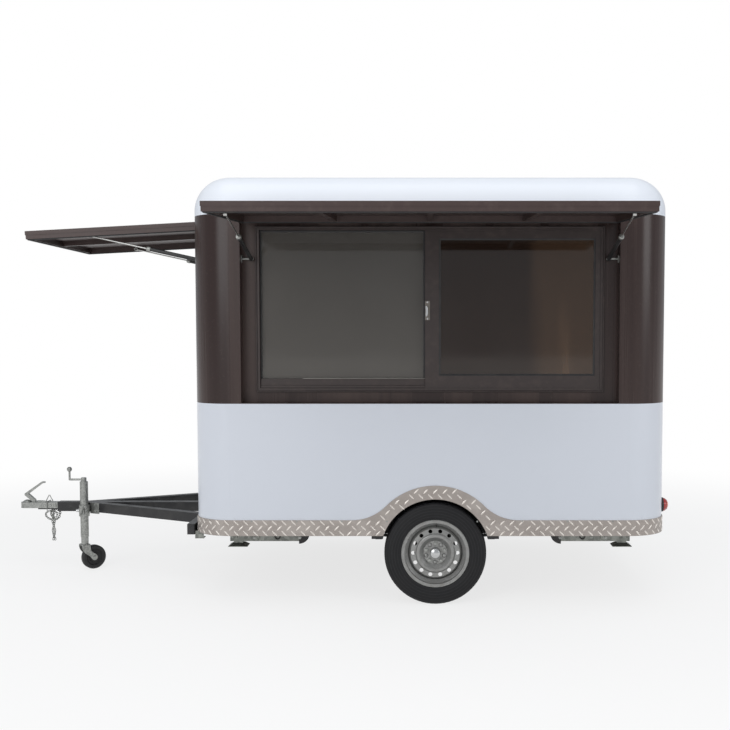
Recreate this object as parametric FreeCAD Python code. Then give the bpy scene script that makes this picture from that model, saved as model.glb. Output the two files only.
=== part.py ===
import FreeCAD, Part
import math
import os

# Concession trailer, millimetres. While it is modelled, x = 0 is the middle of the cabin's length, the drawbar
# points to -X, the serving side is at -Y, the centreline is y = 0 and the ground is z = 0. "Out" is the
# distance outwards from a wall's outer face. At the end everything moves so that the origin lies on the
# ground under the middle of the trailer's outline.

# Cabin
CABIN_LENGTH = 2500.0
CABIN_WIDTH = 1900.0
CORNER_RADIUS = 210.0
WALL = 45.0
FLOOR_BOTTOM = 407.0
FLOOR_THICKNESS = 40.0
COLOUR_SPLIT = 1060.0
WALL_TOP = 2040.0
ROOF_HEIGHT = 206.0
ROOF_LIP = 26.0

# Skirt and wheel arches
SKIRT_BOTTOM = 367.0
SKIRT_TOP = 450.0
SKIRT_PLATE = 4.0
ARCH_PLATE_HALF = 468.0
ARCH_CUT_RADIUS = 290.0
ARCH_FLARE_RADIUS = 362.0
ARCH_BLEND_RADIUS = 250.0
WELL_PLATE = 3.0
WELL_RADIUS = 300.0

# Recesses for the hatches
RECESS_DEPTH = 75.0
RECESS_SHEET = 3.0
SERVING_RECESS_HALF = 981.0
FRONT_RECESS_HALF = 556.0

# Windows, measured from the middle of each recess
WINDOW_BOTTOM = 1125.0
WINDOW_TOP = 1975.0
WINDOW_SLEEVE = 13.0
WINDOW_FLANGE = 7.0
WINDOW_FLANGE_DEPTH = 4.0
SERVING_WINDOW_HALF = 905.0
FRONT_WINDOW_HALF = 480.0
MULLION_LEFT = -26.0
MULLION_RIGHT = 20.0
MULLION_DEPTH = 37.0
SASH_DEPTH = 17.0
SASH_STILE = 27.0
SASH_TOP_RAIL = 42.0
SASH_BOTTOM_RAIL = 65.0
GLASS = 5.0
GLASS_TRACK = 27.0
LATCH_LENGTH = 100.0
LATCH_WIDTH = 26.0
LATCH_DEPTH = 12.0
LATCH_Z = 1545.0

# Hatches, their hinges and gas struts
HATCH_THICKNESS = 43.0
HATCH_SKIN = 12.0
HATCH_FRAME = 25.0
HATCH_SIDE_GAP = 6.0
HATCH_TOP_GAP = 7.0
HATCH_BOTTOM_GAP = 5.0
HATCH_RIB_DEPTH = 40.0
HATCH_OPEN_ANGLE = 86.9
HINGE_BARREL_RADIUS = 5.0
HINGE_PIN_RADIUS = 2.0
HINGE_STANDOFF = 0.5
HINGE_LEAF = 2.0
HINGE_LEAF_HEIGHT = 20.0
HINGE_Z = 2044.0
HINGE_KNUCKLE_GAP = 1.0
STRUT_INSET = 51.0
STRUT_BASE_OUT = -57.0
STRUT_BASE_Z = 1812.0
STRUT_PIN_REACH = 650.0
STRUT_PIN_OUT = -35.0
STRUT_CYLINDER_LENGTH = 385.0
STRUT_CYLINDER_RADIUS = 11.0
STRUT_BORE_START = 40.0
STRUT_ROD_RADIUS = 4.0
STRUT_ROD_LENGTH = 370.0
STRUT_EYE_RADIUS = 11.0
STRUT_EYE_WIDTH = 16.0
STUD_RADIUS = 5.0
STUD_PLATE_RADIUS = 20.0
STUD_PLATE = 4.0
STUD_PLATE_TRIM = 9.0

# Rear door
DOOR_HALF_WIDTH = 360.0
DOOR_BOTTOM = 500.0
DOOR_TOP = 1990.0
DOOR_GAP = 6.0
DOOR_THICKNESS = 40.0
DOOR_HINGE_OUT = 6.5
DOOR_HINGE_RADIUS = 6.0
DOOR_HINGE_LENGTH = 90.0
DOOR_HINGE_LEAF_WIDTH = 38.0
DOOR_HANDLE_Z = 1150.0

# Counter behind the serving window
COUNTER_TOP = 1165.0
COUNTER_THICKNESS = 30.0
COUNTER_DEPTH = 450.0
COUNTER_HALF = 830.0

# Chassis and drawbar
RAIL_WIDTH = 40.0
RAIL_Y = 720.0
CHASSIS_BOTTOM = 347.0
REAR_MEMBER_END = 1210.0
ARCH_MEMBER_OFFSET = 305.0
ARCH_MEMBER_WIDTH = 60.0
ARCH_MEMBER_HALF = 930.0
FRONT_MEMBER_STANDOFF = 14.0
FRONT_MEMBER_WIDTH = 40.0
FRONT_MEMBER_HALF = 800.0
DRAWBAR_HEIGHT = 56.0
SPINE_WIDTH = 60.0
SPINE_FRONT = -2262.0
A_BAR_WIDTH = 50.0
A_BAR_WALL_Y = 429.0
A_BAR_NOSE_X = -2037.0

# Ball coupler
BALL_X = -2456.0
BALL_RADIUS = 25.2
COUPLER_BOTTOM = 366.0
COUPLER_TOP = 400.0
COUPLER_SHELL = 11.0
COUPLER_HALF = 31.0
SOCKET_STRAIGHT = 14.0
# The lever's bent strip from its foot on the housing round the elbow to the grip and back, as distances
# behind the ball and above the housing.
LEVER_OUTLINE = [
    (38, 0), (52, 0), (50, 14), (10, 50), (98, 116), (110, 116), (108, 124), (92, 124), (-12, 52), (-12, 42),
]
LEVER_WIDTH = 26.0
PLATE_UNDER_COUPLER = 8.0
PLATE_FRONT = -2382.0
CHAIN_X = -2300.0
CHAIN_LINKS = 9
CHAIN_WIRE = 2.5
CHAIN_PITCH = 21.4
CHAIN_HALF_WIDTH = 8.0
CHAIN_CORNER = 4.0

# Jockey wheel
JOCKEY_X = -2085.0
JOCKEY_Y = -78.0
JOCKEY_TUBE_RADIUS = 24.0
JOCKEY_TUBE_WALL = 2.2
JOCKEY_TUBE_BOTTOM = 200.0
JOCKEY_TUBE_TOP = 535.0
JOCKEY_SLIDE_GAP = 0.4
JOCKEY_FORK_TOP = 155.0
JOCKEY_STEM = 300.0
JOCKEY_WHEEL_RADIUS = 72.0
JOCKEY_WHEEL_WIDTH = 40.0
JOCKEY_TRAIL = 52.0
JOCKEY_SWIVEL = 38.0
JOCKEY_CRANK_REACH = 85.0
JOCKEY_CLAMP_BOTTOM = 326.0
JOCKEY_CLAMP_TOP = 392.0

# Axle, springs and road wheels
AXLE_X = 28.0
WHEEL_Y = 872.0
TYRE_RADIUS = 270.0
TYRE_WIDTH = 157.0
RIM_FLANGE_RADIUS = 178.0
RIM_SEAT_RADIUS = 165.0
RIM_HALF_WIDTH = 65.0
RIM_SHEET = 4.0
RIM_HOLES = 14
RIM_HOLE_RADIUS = 10.5
RIM_HOLE_CIRCLE = 117.0
BEAM = 60.0
BEAM_HALF = 760.0
SPINDLE_RADIUS = 17.0
SPINDLE_END = 905.0
RUNNING_GAP = 0.3
SPRING_HALF_SPAN = 305.0
SPRING_WIDTH = 50.0
SPRING_LEAF = 7.0
SPRING_RISE = 14.0
SPRING_EYE_RADIUS = 13.0
SPRING_PIN_RADIUS = 7.0
HANGER_PLATE = 6.0

# Corner steadies and tail lamps
STEADY_PIVOT_X = 710.0
STEADY_LENGTH = 375.0
STEADY_WIDTH = 36.0
STEADY_HEIGHT = 28.0
STEADY_SHEET = 3.0
STEADY_PIVOT_DROP = 29.0
STEADY_FOOT_DROP = 45.0
STEADY_FOOT_WIDTH = 80.0
STEADY_EAR = 3.0
STEADY_GUIDE_GAP = 5.0
LAMP_RADIUS = 39.0
LAMP_DEPTH = 42.0
LAMP_Y = 735.0
LAMP_Z = 500.0

HALF_LENGTH = CABIN_LENGTH / 2
HALF_WIDTH = CABIN_WIDTH / 2
FLOOR_TOP = FLOOR_BOTTOM + FLOOR_THICKNESS
ROOF_TOP = WALL_TOP + ROOF_HEIGHT
AXLE_Z = TYRE_RADIUS
BEAM_TOP = AXLE_Z + BEAM / 2
HINGE_OUT = HINGE_BARREL_RADIUS + HINGE_STANDOFF
HATCH_BOTTOM = COLOUR_SPLIT + RECESS_SHEET + HATCH_BOTTOM_GAP
HATCH_TOP = WALL_TOP - RECESS_SHEET - HATCH_TOP_GAP
FRONT_MEMBER_BACK = -HALF_LENGTH - FRONT_MEMBER_STANDOFF
FRONT_MEMBER_FRONT = FRONT_MEMBER_BACK - FRONT_MEMBER_WIDTH
WHEEL_INNER_WALL = WHEEL_Y - TYRE_WIDTH / 2 - 21.0
X_AXIS = FreeCAD.Vector(1, 0, 0)
Y_AXIS = FreeCAD.Vector(0, 1, 0)
Z_AXIS = FreeCAD.Vector(0, 0, 1)


def vec(x, y, z):
    return FreeCAD.Vector(x, y, z)


def box(x0, x1, y0, y1, z0, z1):
    return Part.makeBox(x1 - x0, y1 - y0, z1 - z0, vec(x0, y0, z0))


def rod(start, end, radius):
    span = end - start
    return Part.makeCylinder(radius, span.Length, start, span)


def join(pieces):
    whole = pieces[0]
    for piece in pieces[1:]:
        whole = whole.fuse(piece)
    return whole.removeSplitter()


def compound(pieces):
    return Part.makeCompound(pieces)


def mirrored(shape):
    return shape.mirror(vec(0, 0, 0), Y_AXIS)


def turned(shape, centre, axis, degrees):
    copy = shape.copy()
    copy.rotate(centre, axis, degrees)
    return copy


def prism_xz(points, y0, y1):
    """A prism along Y over an outline of (x, z) points."""
    wire = Part.makePolygon([vec(x, y0, z) for x, z in points + points[:1]])
    return Part.Face(wire).extrude(vec(0, y1 - y0, 0))


def prism_xy(points, z0, z1):
    """A prism along Z over an outline of (x, y) points."""
    wire = Part.makePolygon([vec(x, y, z0) for x, y in points + points[:1]])
    return Part.Face(wire).extrude(vec(0, 0, z1 - z0))


def rounded_block(half_length, half_width, radius, z0, z1):
    block = box(-half_length, half_length, -half_width, half_width, z0, z1)
    upright = [e for e in block.Edges if abs(e.Vertexes[0].Z - e.Vertexes[1].Z) > 1.0]
    return block.makeFillet(radius, upright)


def cabin_block(inset, z0, z1):
    """The cabin's outline, drawn in by inset all round."""
    return rounded_block(HALF_LENGTH - inset, HALF_WIDTH - inset, CORNER_RADIUS - inset, z0, z1)


def wall_ring(z0, z1):
    return cabin_block(0.0, z0, z1).cut(cabin_block(WALL, z0 - 1, z1 + 1))


def cap_half(shape, side):
    """The part of a ring beyond the straight side walls: side -1 is the front, 1 the rear."""
    start = HALF_LENGTH - CORNER_RADIUS
    far = HALF_LENGTH + 50
    x0, x1 = (-far, -start) if side < 0 else (start, far)
    return shape.common(box(x0, x1, -HALF_WIDTH - 50, HALF_WIDTH + 50, 0, ROOF_TOP + 50))


def to_front(shape):
    """Carries what is drawn on the serving wall to the front wall, with +X there becoming -Y here."""
    copy = shape.copy()
    copy.translate(vec(0, HALF_WIDTH, 0))
    copy.rotate(vec(0, 0, 0), Z_AXIS, -90)
    copy.translate(vec(-HALF_LENGTH, 0, 0))
    return copy


def unmoved(shape):
    return shape


def out_y(out):
    """The y of a point that lies this far outwards from the serving wall."""
    return -HALF_WIDTH - out


# Walls

def recessed(wall, recess_half, window_half, place):
    """Cuts a recess through a wall and lines it with a set-back panel, returns, sill and head."""
    back = -RECESS_DEPTH
    cutter = box(-recess_half, recess_half, out_y(1), out_y(-WALL - 1), COLOUR_SPLIT, WALL_TOP)
    lining_half = recess_half + WALL
    inner = back - WALL
    pieces = [
        box(-lining_half, lining_half, out_y(back), out_y(inner), COLOUR_SPLIT, WALL_TOP),
        box(-lining_half, -recess_half, out_y(-WALL), out_y(back), COLOUR_SPLIT, WALL_TOP),
        box(recess_half, lining_half, out_y(-WALL), out_y(back), COLOUR_SPLIT, WALL_TOP),
        box(-recess_half, recess_half, out_y(0), out_y(back), COLOUR_SPLIT, COLOUR_SPLIT + RECESS_SHEET),
        box(-recess_half, recess_half, out_y(0), out_y(back), WALL_TOP - RECESS_SHEET, WALL_TOP),
    ]
    window = box(-window_half, window_half, out_y(back + 1), out_y(inner - 1), WINDOW_BOTTOM, WINDOW_TOP)
    whole = join([wall.cut(place(cutter))] + [place(piece) for piece in pieces])
    return whole.cut(place(window))


def side_wall(z0, z1, side):
    straight = HALF_LENGTH - CORNER_RADIUS
    y0, y1 = (-HALF_WIDTH, -HALF_WIDTH + WALL) if side < 0 else (HALF_WIDTH - WALL, HALF_WIDTH)
    return box(-straight, straight, y0, y1, z0, z1)


def arch_cutter(radius, y0, y1):
    return Part.makeCylinder(radius, y1 - y0, vec(AXLE_X, y0, AXLE_Z), Y_AXIS)


def doorway():
    reach = HALF_LENGTH + 50
    return box(HALF_LENGTH - WALL - 50, reach, -DOOR_HALF_WIDTH, DOOR_HALF_WIDTH, DOOR_BOTTOM, DOOR_TOP)


def make_walls():
    lower_ring = wall_ring(FLOOR_TOP, COLOUR_SPLIT)
    upper_ring = wall_ring(COLOUR_SPLIT, WALL_TOP)
    cutter = arch_cutter(ARCH_CUT_RADIUS, -HALF_WIDTH - 10, HALF_WIDTH + 10)
    serving_upper = side_wall(COLOUR_SPLIT, WALL_TOP, -1)
    return {
        "front_cap_lower": cap_half(lower_ring, -1),
        "front_cap_upper": recessed(cap_half(upper_ring, -1), FRONT_RECESS_HALF, FRONT_WINDOW_HALF, to_front),
        "rear_cap_lower": cap_half(lower_ring, 1).cut(doorway()),
        "rear_cap_upper": cap_half(upper_ring, 1).cut(doorway()),
        "serving_wall_lower": side_wall(FLOOR_TOP, COLOUR_SPLIT, -1).cut(cutter),
        "serving_wall_upper": recessed(serving_upper, SERVING_RECESS_HALF, SERVING_WINDOW_HALF, unmoved),
        "far_wall_lower": side_wall(FLOOR_TOP, COLOUR_SPLIT, 1).cut(cutter),
        "far_wall_upper": side_wall(COLOUR_SPLIT, WALL_TOP, 1),
    }


def domed(inset, z0, z1, radius):
    block = cabin_block(inset, z0, z1)
    rim = [e for e in block.Edges if min(v.Z for v in e.Vertexes) > z1 - 0.01]
    return block.makeFillet(radius, rim)


def make_roof():
    """A shallow dome: a flat top rolled down to an upright lip all round, as thick as the walls."""
    edge = ROOF_HEIGHT - ROOF_LIP
    outer = domed(0.0, WALL_TOP, ROOF_TOP, edge)
    inner = domed(WALL, WALL_TOP - 1, ROOF_TOP - WALL, edge - WALL)
    return outer.cut(inner)


def make_floor():
    panel = cabin_block(0.0, FLOOR_BOTTOM, FLOOR_TOP)
    for side in (-1, 1):
        y0, y1 = sorted((side * WHEEL_INNER_WALL, side * (HALF_WIDTH + 10)))
        panel = panel.cut(arch_cutter(WELL_RADIUS, y0, y1))
    return panel


# Skirt, arch plates and wheel wells

def skirt_ring():
    outer = rounded_block(
        HALF_LENGTH + SKIRT_PLATE, HALF_WIDTH + SKIRT_PLATE, CORNER_RADIUS + SKIRT_PLATE, SKIRT_BOTTOM, SKIRT_TOP
    )
    return outer.cut(cabin_block(0.0, SKIRT_BOTTOM - 1, SKIRT_TOP + 1))


def make_skirts():
    ring = skirt_ring()
    far = HALF_LENGTH + 50
    wide = HALF_WIDTH + 50
    front = ring.common(box(-far, AXLE_X - ARCH_PLATE_HALF, -wide, wide, 0, SKIRT_TOP + 50))
    rear = ring.common(box(AXLE_X + ARCH_PLATE_HALF, far, -wide, wide, 0, SKIRT_TOP + 50))
    for side in (-1, 1):
        y = side * RAIL_Y
        half = RAIL_WIDTH / 2 + 2
        front = front.cut(box(-far, -HALF_LENGTH + 5, y - half, y + half, 0, FLOOR_BOTTOM + 2))
    return {"skirt_front": front, "skirt_rear": rear}


def arch_outline():
    """Skirt plate over a wheel: a straight strip whose top runs by hollow arcs into a hump round the wheel."""
    rise = SKIRT_TOP + ARCH_BLEND_RADIUS - AXLE_Z
    spread = math.sqrt((ARCH_FLARE_RADIUS + ARCH_BLEND_RADIUS) ** 2 - rise**2)
    share = ARCH_FLARE_RADIUS / (ARCH_FLARE_RADIUS + ARCH_BLEND_RADIUS)
    y = 0.0
    top = vec(AXLE_X, y, AXLE_Z + ARCH_FLARE_RADIUS)
    edges = []
    joints = []
    for side in (-1, 1):
        start = vec(AXLE_X + side * spread, y, SKIRT_TOP)
        meet = vec(AXLE_X + side * spread * share, y, AXLE_Z + rise * share)
        lean = math.atan2(rise, spread) / 2 + math.pi / 4
        centre = vec(AXLE_X + side * spread, y, SKIRT_TOP + ARCH_BLEND_RADIUS)
        middle = centre + vec(
            -side * ARCH_BLEND_RADIUS * math.cos(lean), 0, -ARCH_BLEND_RADIUS * math.sin(lean)
        )
        edges.append(Part.Arc(start, middle, meet).toShape())
        joints.append((start, meet))
    edges.append(Part.Arc(joints[0][1], top, joints[1][1]).toShape())
    corners = [
        joints[1][0],
        vec(AXLE_X + ARCH_PLATE_HALF, y, SKIRT_TOP),
        vec(AXLE_X + ARCH_PLATE_HALF, y, SKIRT_BOTTOM),
        vec(AXLE_X - ARCH_PLATE_HALF, y, SKIRT_BOTTOM),
        vec(AXLE_X - ARCH_PLATE_HALF, y, SKIRT_TOP),
        joints[0][0],
    ]
    for a, b in zip(corners, corners[1:]):
        edges.append(Part.makeLine(a, b))
    return Part.Wire(Part.__sortEdges__(edges))


def make_arch_plate():
    plate = Part.Face(arch_outline()).extrude(vec(0, SKIRT_PLATE, 0))
    plate.translate(vec(0, -HALF_WIDTH - SKIRT_PLATE, 0))
    return plate.cut(arch_cutter(ARCH_CUT_RADIUS, -HALF_WIDTH - 20, -HALF_WIDTH + 20))


def make_wheel_well():
    """A half drum over the serving-side wheel, closed at its inner end, standing on the floor."""
    inner = -WHEEL_INNER_WALL
    tunnel = arch_cutter(WELL_RADIUS, -HALF_WIDTH + WALL, inner)
    hollow = arch_cutter(WELL_RADIUS - WELL_PLATE, -HALF_WIDTH + WALL - 1, inner - WELL_PLATE)
    above = box(AXLE_X - 400, AXLE_X + 400, -HALF_WIDTH, inner + 10, FLOOR_TOP, FLOOR_TOP + 400)
    return tunnel.cut(hollow).common(above)


# Windows

def window_frame(half, with_mullion):
    back = out_y(-RECESS_DEPTH)
    inner = out_y(-RECESS_DEPTH - WALL)
    front = back - WINDOW_FLANGE_DEPTH
    grip = WINDOW_FLANGE
    flange = box(-half - grip, half + grip, front, back, WINDOW_BOTTOM - grip, WINDOW_TOP + grip)
    sleeve = box(-half, half, back, inner, WINDOW_BOTTOM, WINDOW_TOP)
    clear = box(
        -half + WINDOW_SLEEVE, half - WINDOW_SLEEVE, front - 1, inner + 1,
        WINDOW_BOTTOM + WINDOW_SLEEVE, WINDOW_TOP - WINDOW_SLEEVE,
    )
    frame = join([flange, sleeve]).cut(clear)
    if with_mullion:
        mullion = box(
            MULLION_LEFT, MULLION_RIGHT, back, back + MULLION_DEPTH,
            WINDOW_BOTTOM + WINDOW_SLEEVE, WINDOW_TOP - WINDOW_SLEEVE,
        )
        frame = join([frame, mullion])
    return frame


def window_pane(x0, x1):
    y = out_y(-RECESS_DEPTH) + GLASS_TRACK
    return box(x0, x1, y, y + GLASS, WINDOW_BOTTOM + WINDOW_SLEEVE, WINDOW_TOP - WINDOW_SLEEVE)


def make_windows():
    serving_clear = SERVING_WINDOW_HALF - WINDOW_SLEEVE
    front_clear = FRONT_WINDOW_HALF - WINDOW_SLEEVE
    back = out_y(-RECESS_DEPTH)
    low = WINDOW_BOTTOM + WINDOW_SLEEVE
    high = WINDOW_TOP - WINDOW_SLEEVE
    glass_x = (MULLION_RIGHT + SASH_STILE, serving_clear - SASH_STILE)
    glass_z = (low + SASH_BOTTOM_RAIL, high - SASH_TOP_RAIL)
    sash = box(MULLION_RIGHT, serving_clear, back, back + SASH_DEPTH, low, high)
    sash = sash.cut(box(glass_x[0], glass_x[1], back - 1, back + SASH_DEPTH + 1, glass_z[0], glass_z[1]))
    glass_y = back + (SASH_DEPTH - GLASS) / 2
    latch_right = MULLION_LEFT + LATCH_WIDTH
    plate = box(
        MULLION_LEFT, latch_right, back - LATCH_DEPTH / 3, back,
        LATCH_Z - LATCH_LENGTH / 2, LATCH_Z + LATCH_LENGTH / 2,
    )
    grip = box(
        MULLION_LEFT + LATCH_WIDTH / 4, latch_right - LATCH_WIDTH / 4, back - LATCH_DEPTH, back - LATCH_DEPTH / 3,
        LATCH_Z - LATCH_LENGTH / 3, LATCH_Z + LATCH_LENGTH / 5,
    )
    return {
        "serving_window_frame": window_frame(SERVING_WINDOW_HALF, True),
        "serving_window_sash": sash,
        "serving_sash_glass": box(glass_x[0], glass_x[1], glass_y, glass_y + GLASS, glass_z[0], glass_z[1]),
        "window_latch": join([plate, grip]),
        "front_window_frame": to_front(window_frame(FRONT_WINDOW_HALF, False)),
        "window_panes": compound(
            [window_pane(-serving_clear, MULLION_LEFT), to_front(window_pane(-front_clear, front_clear))]
        ),
    }


# Hatches, hinges and struts, drawn on the serving wall

def hinge_point():
    return vec(0, out_y(HINGE_OUT), HINGE_Z)


def opened(shape):
    return turned(shape, hinge_point(), X_AXIS, -HATCH_OPEN_ANGLE)


def hatch_panel(half):
    """A skin with a frame round its edge and upright ribs behind it, closed."""
    face = out_y(0)
    back = out_y(-HATCH_THICKNESS)
    whole = box(-half, half, face, back, HATCH_BOTTOM, HATCH_TOP)
    hollow = box(
        -half + HATCH_FRAME, half - HATCH_FRAME, out_y(-HATCH_SKIN), back + 1,
        HATCH_BOTTOM + HATCH_FRAME, HATCH_TOP - HATCH_FRAME,
    )
    whole = whole.cut(hollow)
    bays = max(2, round(2 * half / 480))
    ribs = []
    for i in range(1, bays):
        x = -half + i * 2 * half / bays
        ribs.append(
            box(
                x - HATCH_FRAME / 2, x + HATCH_FRAME / 2, out_y(-HATCH_SKIN), out_y(-HATCH_RIB_DEPTH),
                HATCH_BOTTOM + HATCH_FRAME, HATCH_TOP - HATCH_FRAME,
            )
        )
    return join([whole] + ribs)


def knuckle_spans(half, count):
    """The knuckles' ends along a piano hinge; even ones are fixed, odd ones swing with the hatch."""
    step = 2 * half / count
    gap = HINGE_KNUCKLE_GAP / 2
    return [(-half + i * step + gap, -half + (i + 1) * step - gap) for i in range(count)]


def hatch_hinge(half, count):
    """Returns the fixed half with its pin and the swinging half, closed."""
    axis = hinge_point()
    face = out_y(0)
    leaf_y = (face - HINGE_LEAF, face)
    pin = rod(vec(-half, axis.y, axis.z), vec(half, axis.y, axis.z), HINGE_PIN_RADIUS)
    spans = knuckle_spans(half, count)
    fixed_top = HINGE_Z + HINGE_LEAF_HEIGHT
    moving_bottom = HATCH_TOP - HINGE_LEAF_HEIGHT
    fixed = [pin]
    moving = []
    for i, (x0, x1) in enumerate(spans):
        barrel = rod(vec(x0, axis.y, axis.z), vec(x1, axis.y, axis.z), HINGE_BARREL_RADIUS)
        if i % 2 == 0:
            leaf = box(x0, x1, leaf_y[0], leaf_y[1], HINGE_Z, fixed_top)
            fixed.append(barrel.fuse(leaf))
        else:
            leaf = box(x0, x1, leaf_y[0], leaf_y[1], moving_bottom, HINGE_Z)
            bore = rod(
                vec(x0 - 1, axis.y, axis.z), vec(x1 + 1, axis.y, axis.z), HINGE_PIN_RADIUS + RUNNING_GAP
            )
            moving.append(barrel.fuse(leaf).cut(bore))
    return join(fixed), moving


def strut_points():
    """Base and open and closed pin as (out, z), with the strut's length and angle at both ends."""
    base = (STRUT_BASE_OUT, STRUT_BASE_Z)
    closed = (STRUT_PIN_OUT, HINGE_Z - STRUT_PIN_REACH)
    swing = math.radians(HATCH_OPEN_ANGLE)
    dx, dz = closed[0] - HINGE_OUT, closed[1] - HINGE_Z
    opened_pin = (
        HINGE_OUT + dx * math.cos(swing) - dz * math.sin(swing),
        HINGE_Z + dx * math.sin(swing) + dz * math.cos(swing),
    )
    results = []
    for pin in (opened_pin, closed):
        out, rise = pin[0] - base[0], pin[1] - base[1]
        results.append((math.hypot(out, rise), math.atan2(rise, out)))
    return base, opened_pin, results[0], results[1]


def along_strut(shape):
    """Carries what is drawn from the origin up +Z onto the open strut's line."""
    base, _, (length, angle), _ = strut_points()
    copy = shape.copy()
    copy.rotate(vec(0, 0, 0), X_AXIS, 90 - math.degrees(angle))
    copy.translate(vec(0, out_y(base[0]), base[1]))
    return copy


def eye(z, bored):
    half = STRUT_EYE_WIDTH / 2
    ring = rod(vec(-half, 0, z), vec(half, 0, z), STRUT_EYE_RADIUS)
    if bored:
        ring = ring.cut(rod(vec(-half - 1, 0, z), vec(half + 1, 0, z), STUD_RADIUS + RUNNING_GAP))
    return ring


def strut_cylinder():
    tube = rod(vec(0, 0, STRUT_EYE_RADIUS - 2), vec(0, 0, STRUT_CYLINDER_LENGTH), STRUT_CYLINDER_RADIUS)
    bore = rod(
        vec(0, 0, STRUT_BORE_START), vec(0, 0, STRUT_CYLINDER_LENGTH + 1), STRUT_ROD_RADIUS + RUNNING_GAP
    )
    neck = rod(vec(0, 0, STRUT_EYE_RADIUS - 4), vec(0, 0, STRUT_EYE_RADIUS), STRUT_ROD_RADIUS)
    pin_hole = rod(
        vec(-STRUT_EYE_WIDTH, 0, 0), vec(STRUT_EYE_WIDTH, 0, 0), STUD_RADIUS + RUNNING_GAP
    )
    return join([tube, neck, eye(0, False)]).cut(bore).cut(pin_hole)


def strut_rod():
    _, _, (length, _), _ = strut_points()
    stem = rod(vec(0, 0, length - STRUT_ROD_LENGTH), vec(0, 0, length - STUD_RADIUS - 2), STRUT_ROD_RADIUS)
    return join([stem, eye(length, True)])


def strut_set(recess_half):
    """Cylinder, rod and both studs at each side of one hatch, open."""
    base, pin, _, _ = strut_points()
    plane = recess_half - STRUT_INSET
    hatch_inner = recess_half - HATCH_SIDE_GAP - HATCH_FRAME
    eye_outer = plane + STRUT_EYE_WIDTH / 2
    result = {"cylinders": [], "rods": [], "base_studs": [], "hatch_studs": []}
    for side in (-1, 1):
        for key, shape in (("cylinders", strut_cylinder()), ("rods", strut_rod())):
            placed = along_strut(shape)
            placed.translate(vec(side * plane, 0, 0))
            result[key].append(placed)
        foot = vec(side * recess_half, out_y(base[0]), base[1])
        tip = vec(side * (plane - STRUT_EYE_WIDTH / 2 - 4), out_y(base[0]), base[1])
        disc = Part.makeCylinder(STUD_PLATE_RADIUS, STUD_PLATE, foot, vec(-side, 0, 0))
        flat = box(
            -CABIN_LENGTH, CABIN_LENGTH, out_y(base[0] + STUD_PLATE_TRIM), out_y(base[0] - STUD_PLATE_TRIM),
            base[1] - STUD_PLATE_RADIUS - 1, base[1] + STUD_PLATE_RADIUS + 1,
        )
        result["base_studs"].append(join([disc.common(flat), rod(foot, tip, STUD_RADIUS)]))
        root = vec(side * hatch_inner, out_y(pin[0]), pin[1])
        end = vec(side * (eye_outer + 0.5), out_y(pin[0]), pin[1])
        result["hatch_studs"].append(rod(root, end, STUD_RADIUS))
    return result


def make_hatches():
    """Each hatch with its swinging hinge half and strut studs; what stays on the walls shares two nodes."""
    parts = {}
    hinges = []
    studs = []
    for name, recess_half, knuckles, place in (
        ("serving", SERVING_RECESS_HALF, 11, unmoved),
        ("front", FRONT_RECESS_HALF, 7, to_front),
    ):
        half = recess_half - HATCH_SIDE_GAP
        fixed, moving = hatch_hinge(half, knuckles)
        struts = strut_set(recess_half)
        panel = join([opened(hatch_panel(half))] + [opened(leaf) for leaf in moving] + struts["hatch_studs"])
        parts[name + "_hatch"] = place(panel)
        parts[name + "_strut_cylinders"] = place(compound(struts["cylinders"]))
        parts[name + "_strut_rods"] = place(compound(struts["rods"]))
        hinges.append(place(fixed))
        studs += [place(stud) for stud in struts["base_studs"]]
    parts["fixed_hinges"] = compound(hinges + door_hinges()[0])
    parts["strut_base_studs"] = compound(studs)
    return parts


# Rear door

def door_hinge_axis():
    return vec(HALF_LENGTH + DOOR_HINGE_OUT, DOOR_HALF_WIDTH, 0)


def door_hinges():
    """Three butt hinges: the fixed knuckles with their pins, and the door's knuckles."""
    face = HALF_LENGTH
    axis = door_hinge_axis()
    fixed = []
    moving = []
    height = DOOR_TOP - DOOR_BOTTOM
    leaf_plate = DOOR_HINGE_OUT - DOOR_HINGE_RADIUS + 3.0
    for share in (0.12, 0.5, 0.88):
        middle = DOOR_BOTTOM + share * height
        third = DOOR_HINGE_LENGTH / 3
        low = middle - DOOR_HINGE_LENGTH / 2
        pin = Part.makeCylinder(3.0, DOOR_HINGE_LENGTH, vec(axis.x, axis.y, low))
        pieces = [pin]
        for start in (low, low + 2 * third):
            pieces.append(Part.makeCylinder(DOOR_HINGE_RADIUS, third, vec(axis.x, axis.y, start)))
        pieces.append(
            box(face, face + leaf_plate, axis.y, axis.y + DOOR_HINGE_LEAF_WIDTH, low, low + third)
        )
        pieces.append(
            box(
                face, face + leaf_plate, axis.y, axis.y + DOOR_HINGE_LEAF_WIDTH,
                low + 2 * third, low + DOOR_HINGE_LENGTH,
            )
        )
        pieces.append(
            box(
                face, face + leaf_plate, axis.y + DOOR_HINGE_RADIUS + 2, axis.y + DOOR_HINGE_LEAF_WIDTH,
                low, low + DOOR_HINGE_LENGTH,
            )
        )
        fixed.append(join(pieces))
        gap = 0.5
        barrel = Part.makeCylinder(DOOR_HINGE_RADIUS, third - 2 * gap, vec(axis.x, axis.y, low + third + gap))
        plate = box(
            face, face + leaf_plate, axis.y - DOOR_HINGE_LEAF_WIDTH, axis.y,
            low + third + gap, low + 2 * third - gap,
        )
        hole = Part.makeCylinder(3.0 + RUNNING_GAP, DOOR_HINGE_LENGTH, vec(axis.x, axis.y, low))
        moving.append(barrel.fuse(plate).cut(hole))
    return fixed, moving


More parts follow.
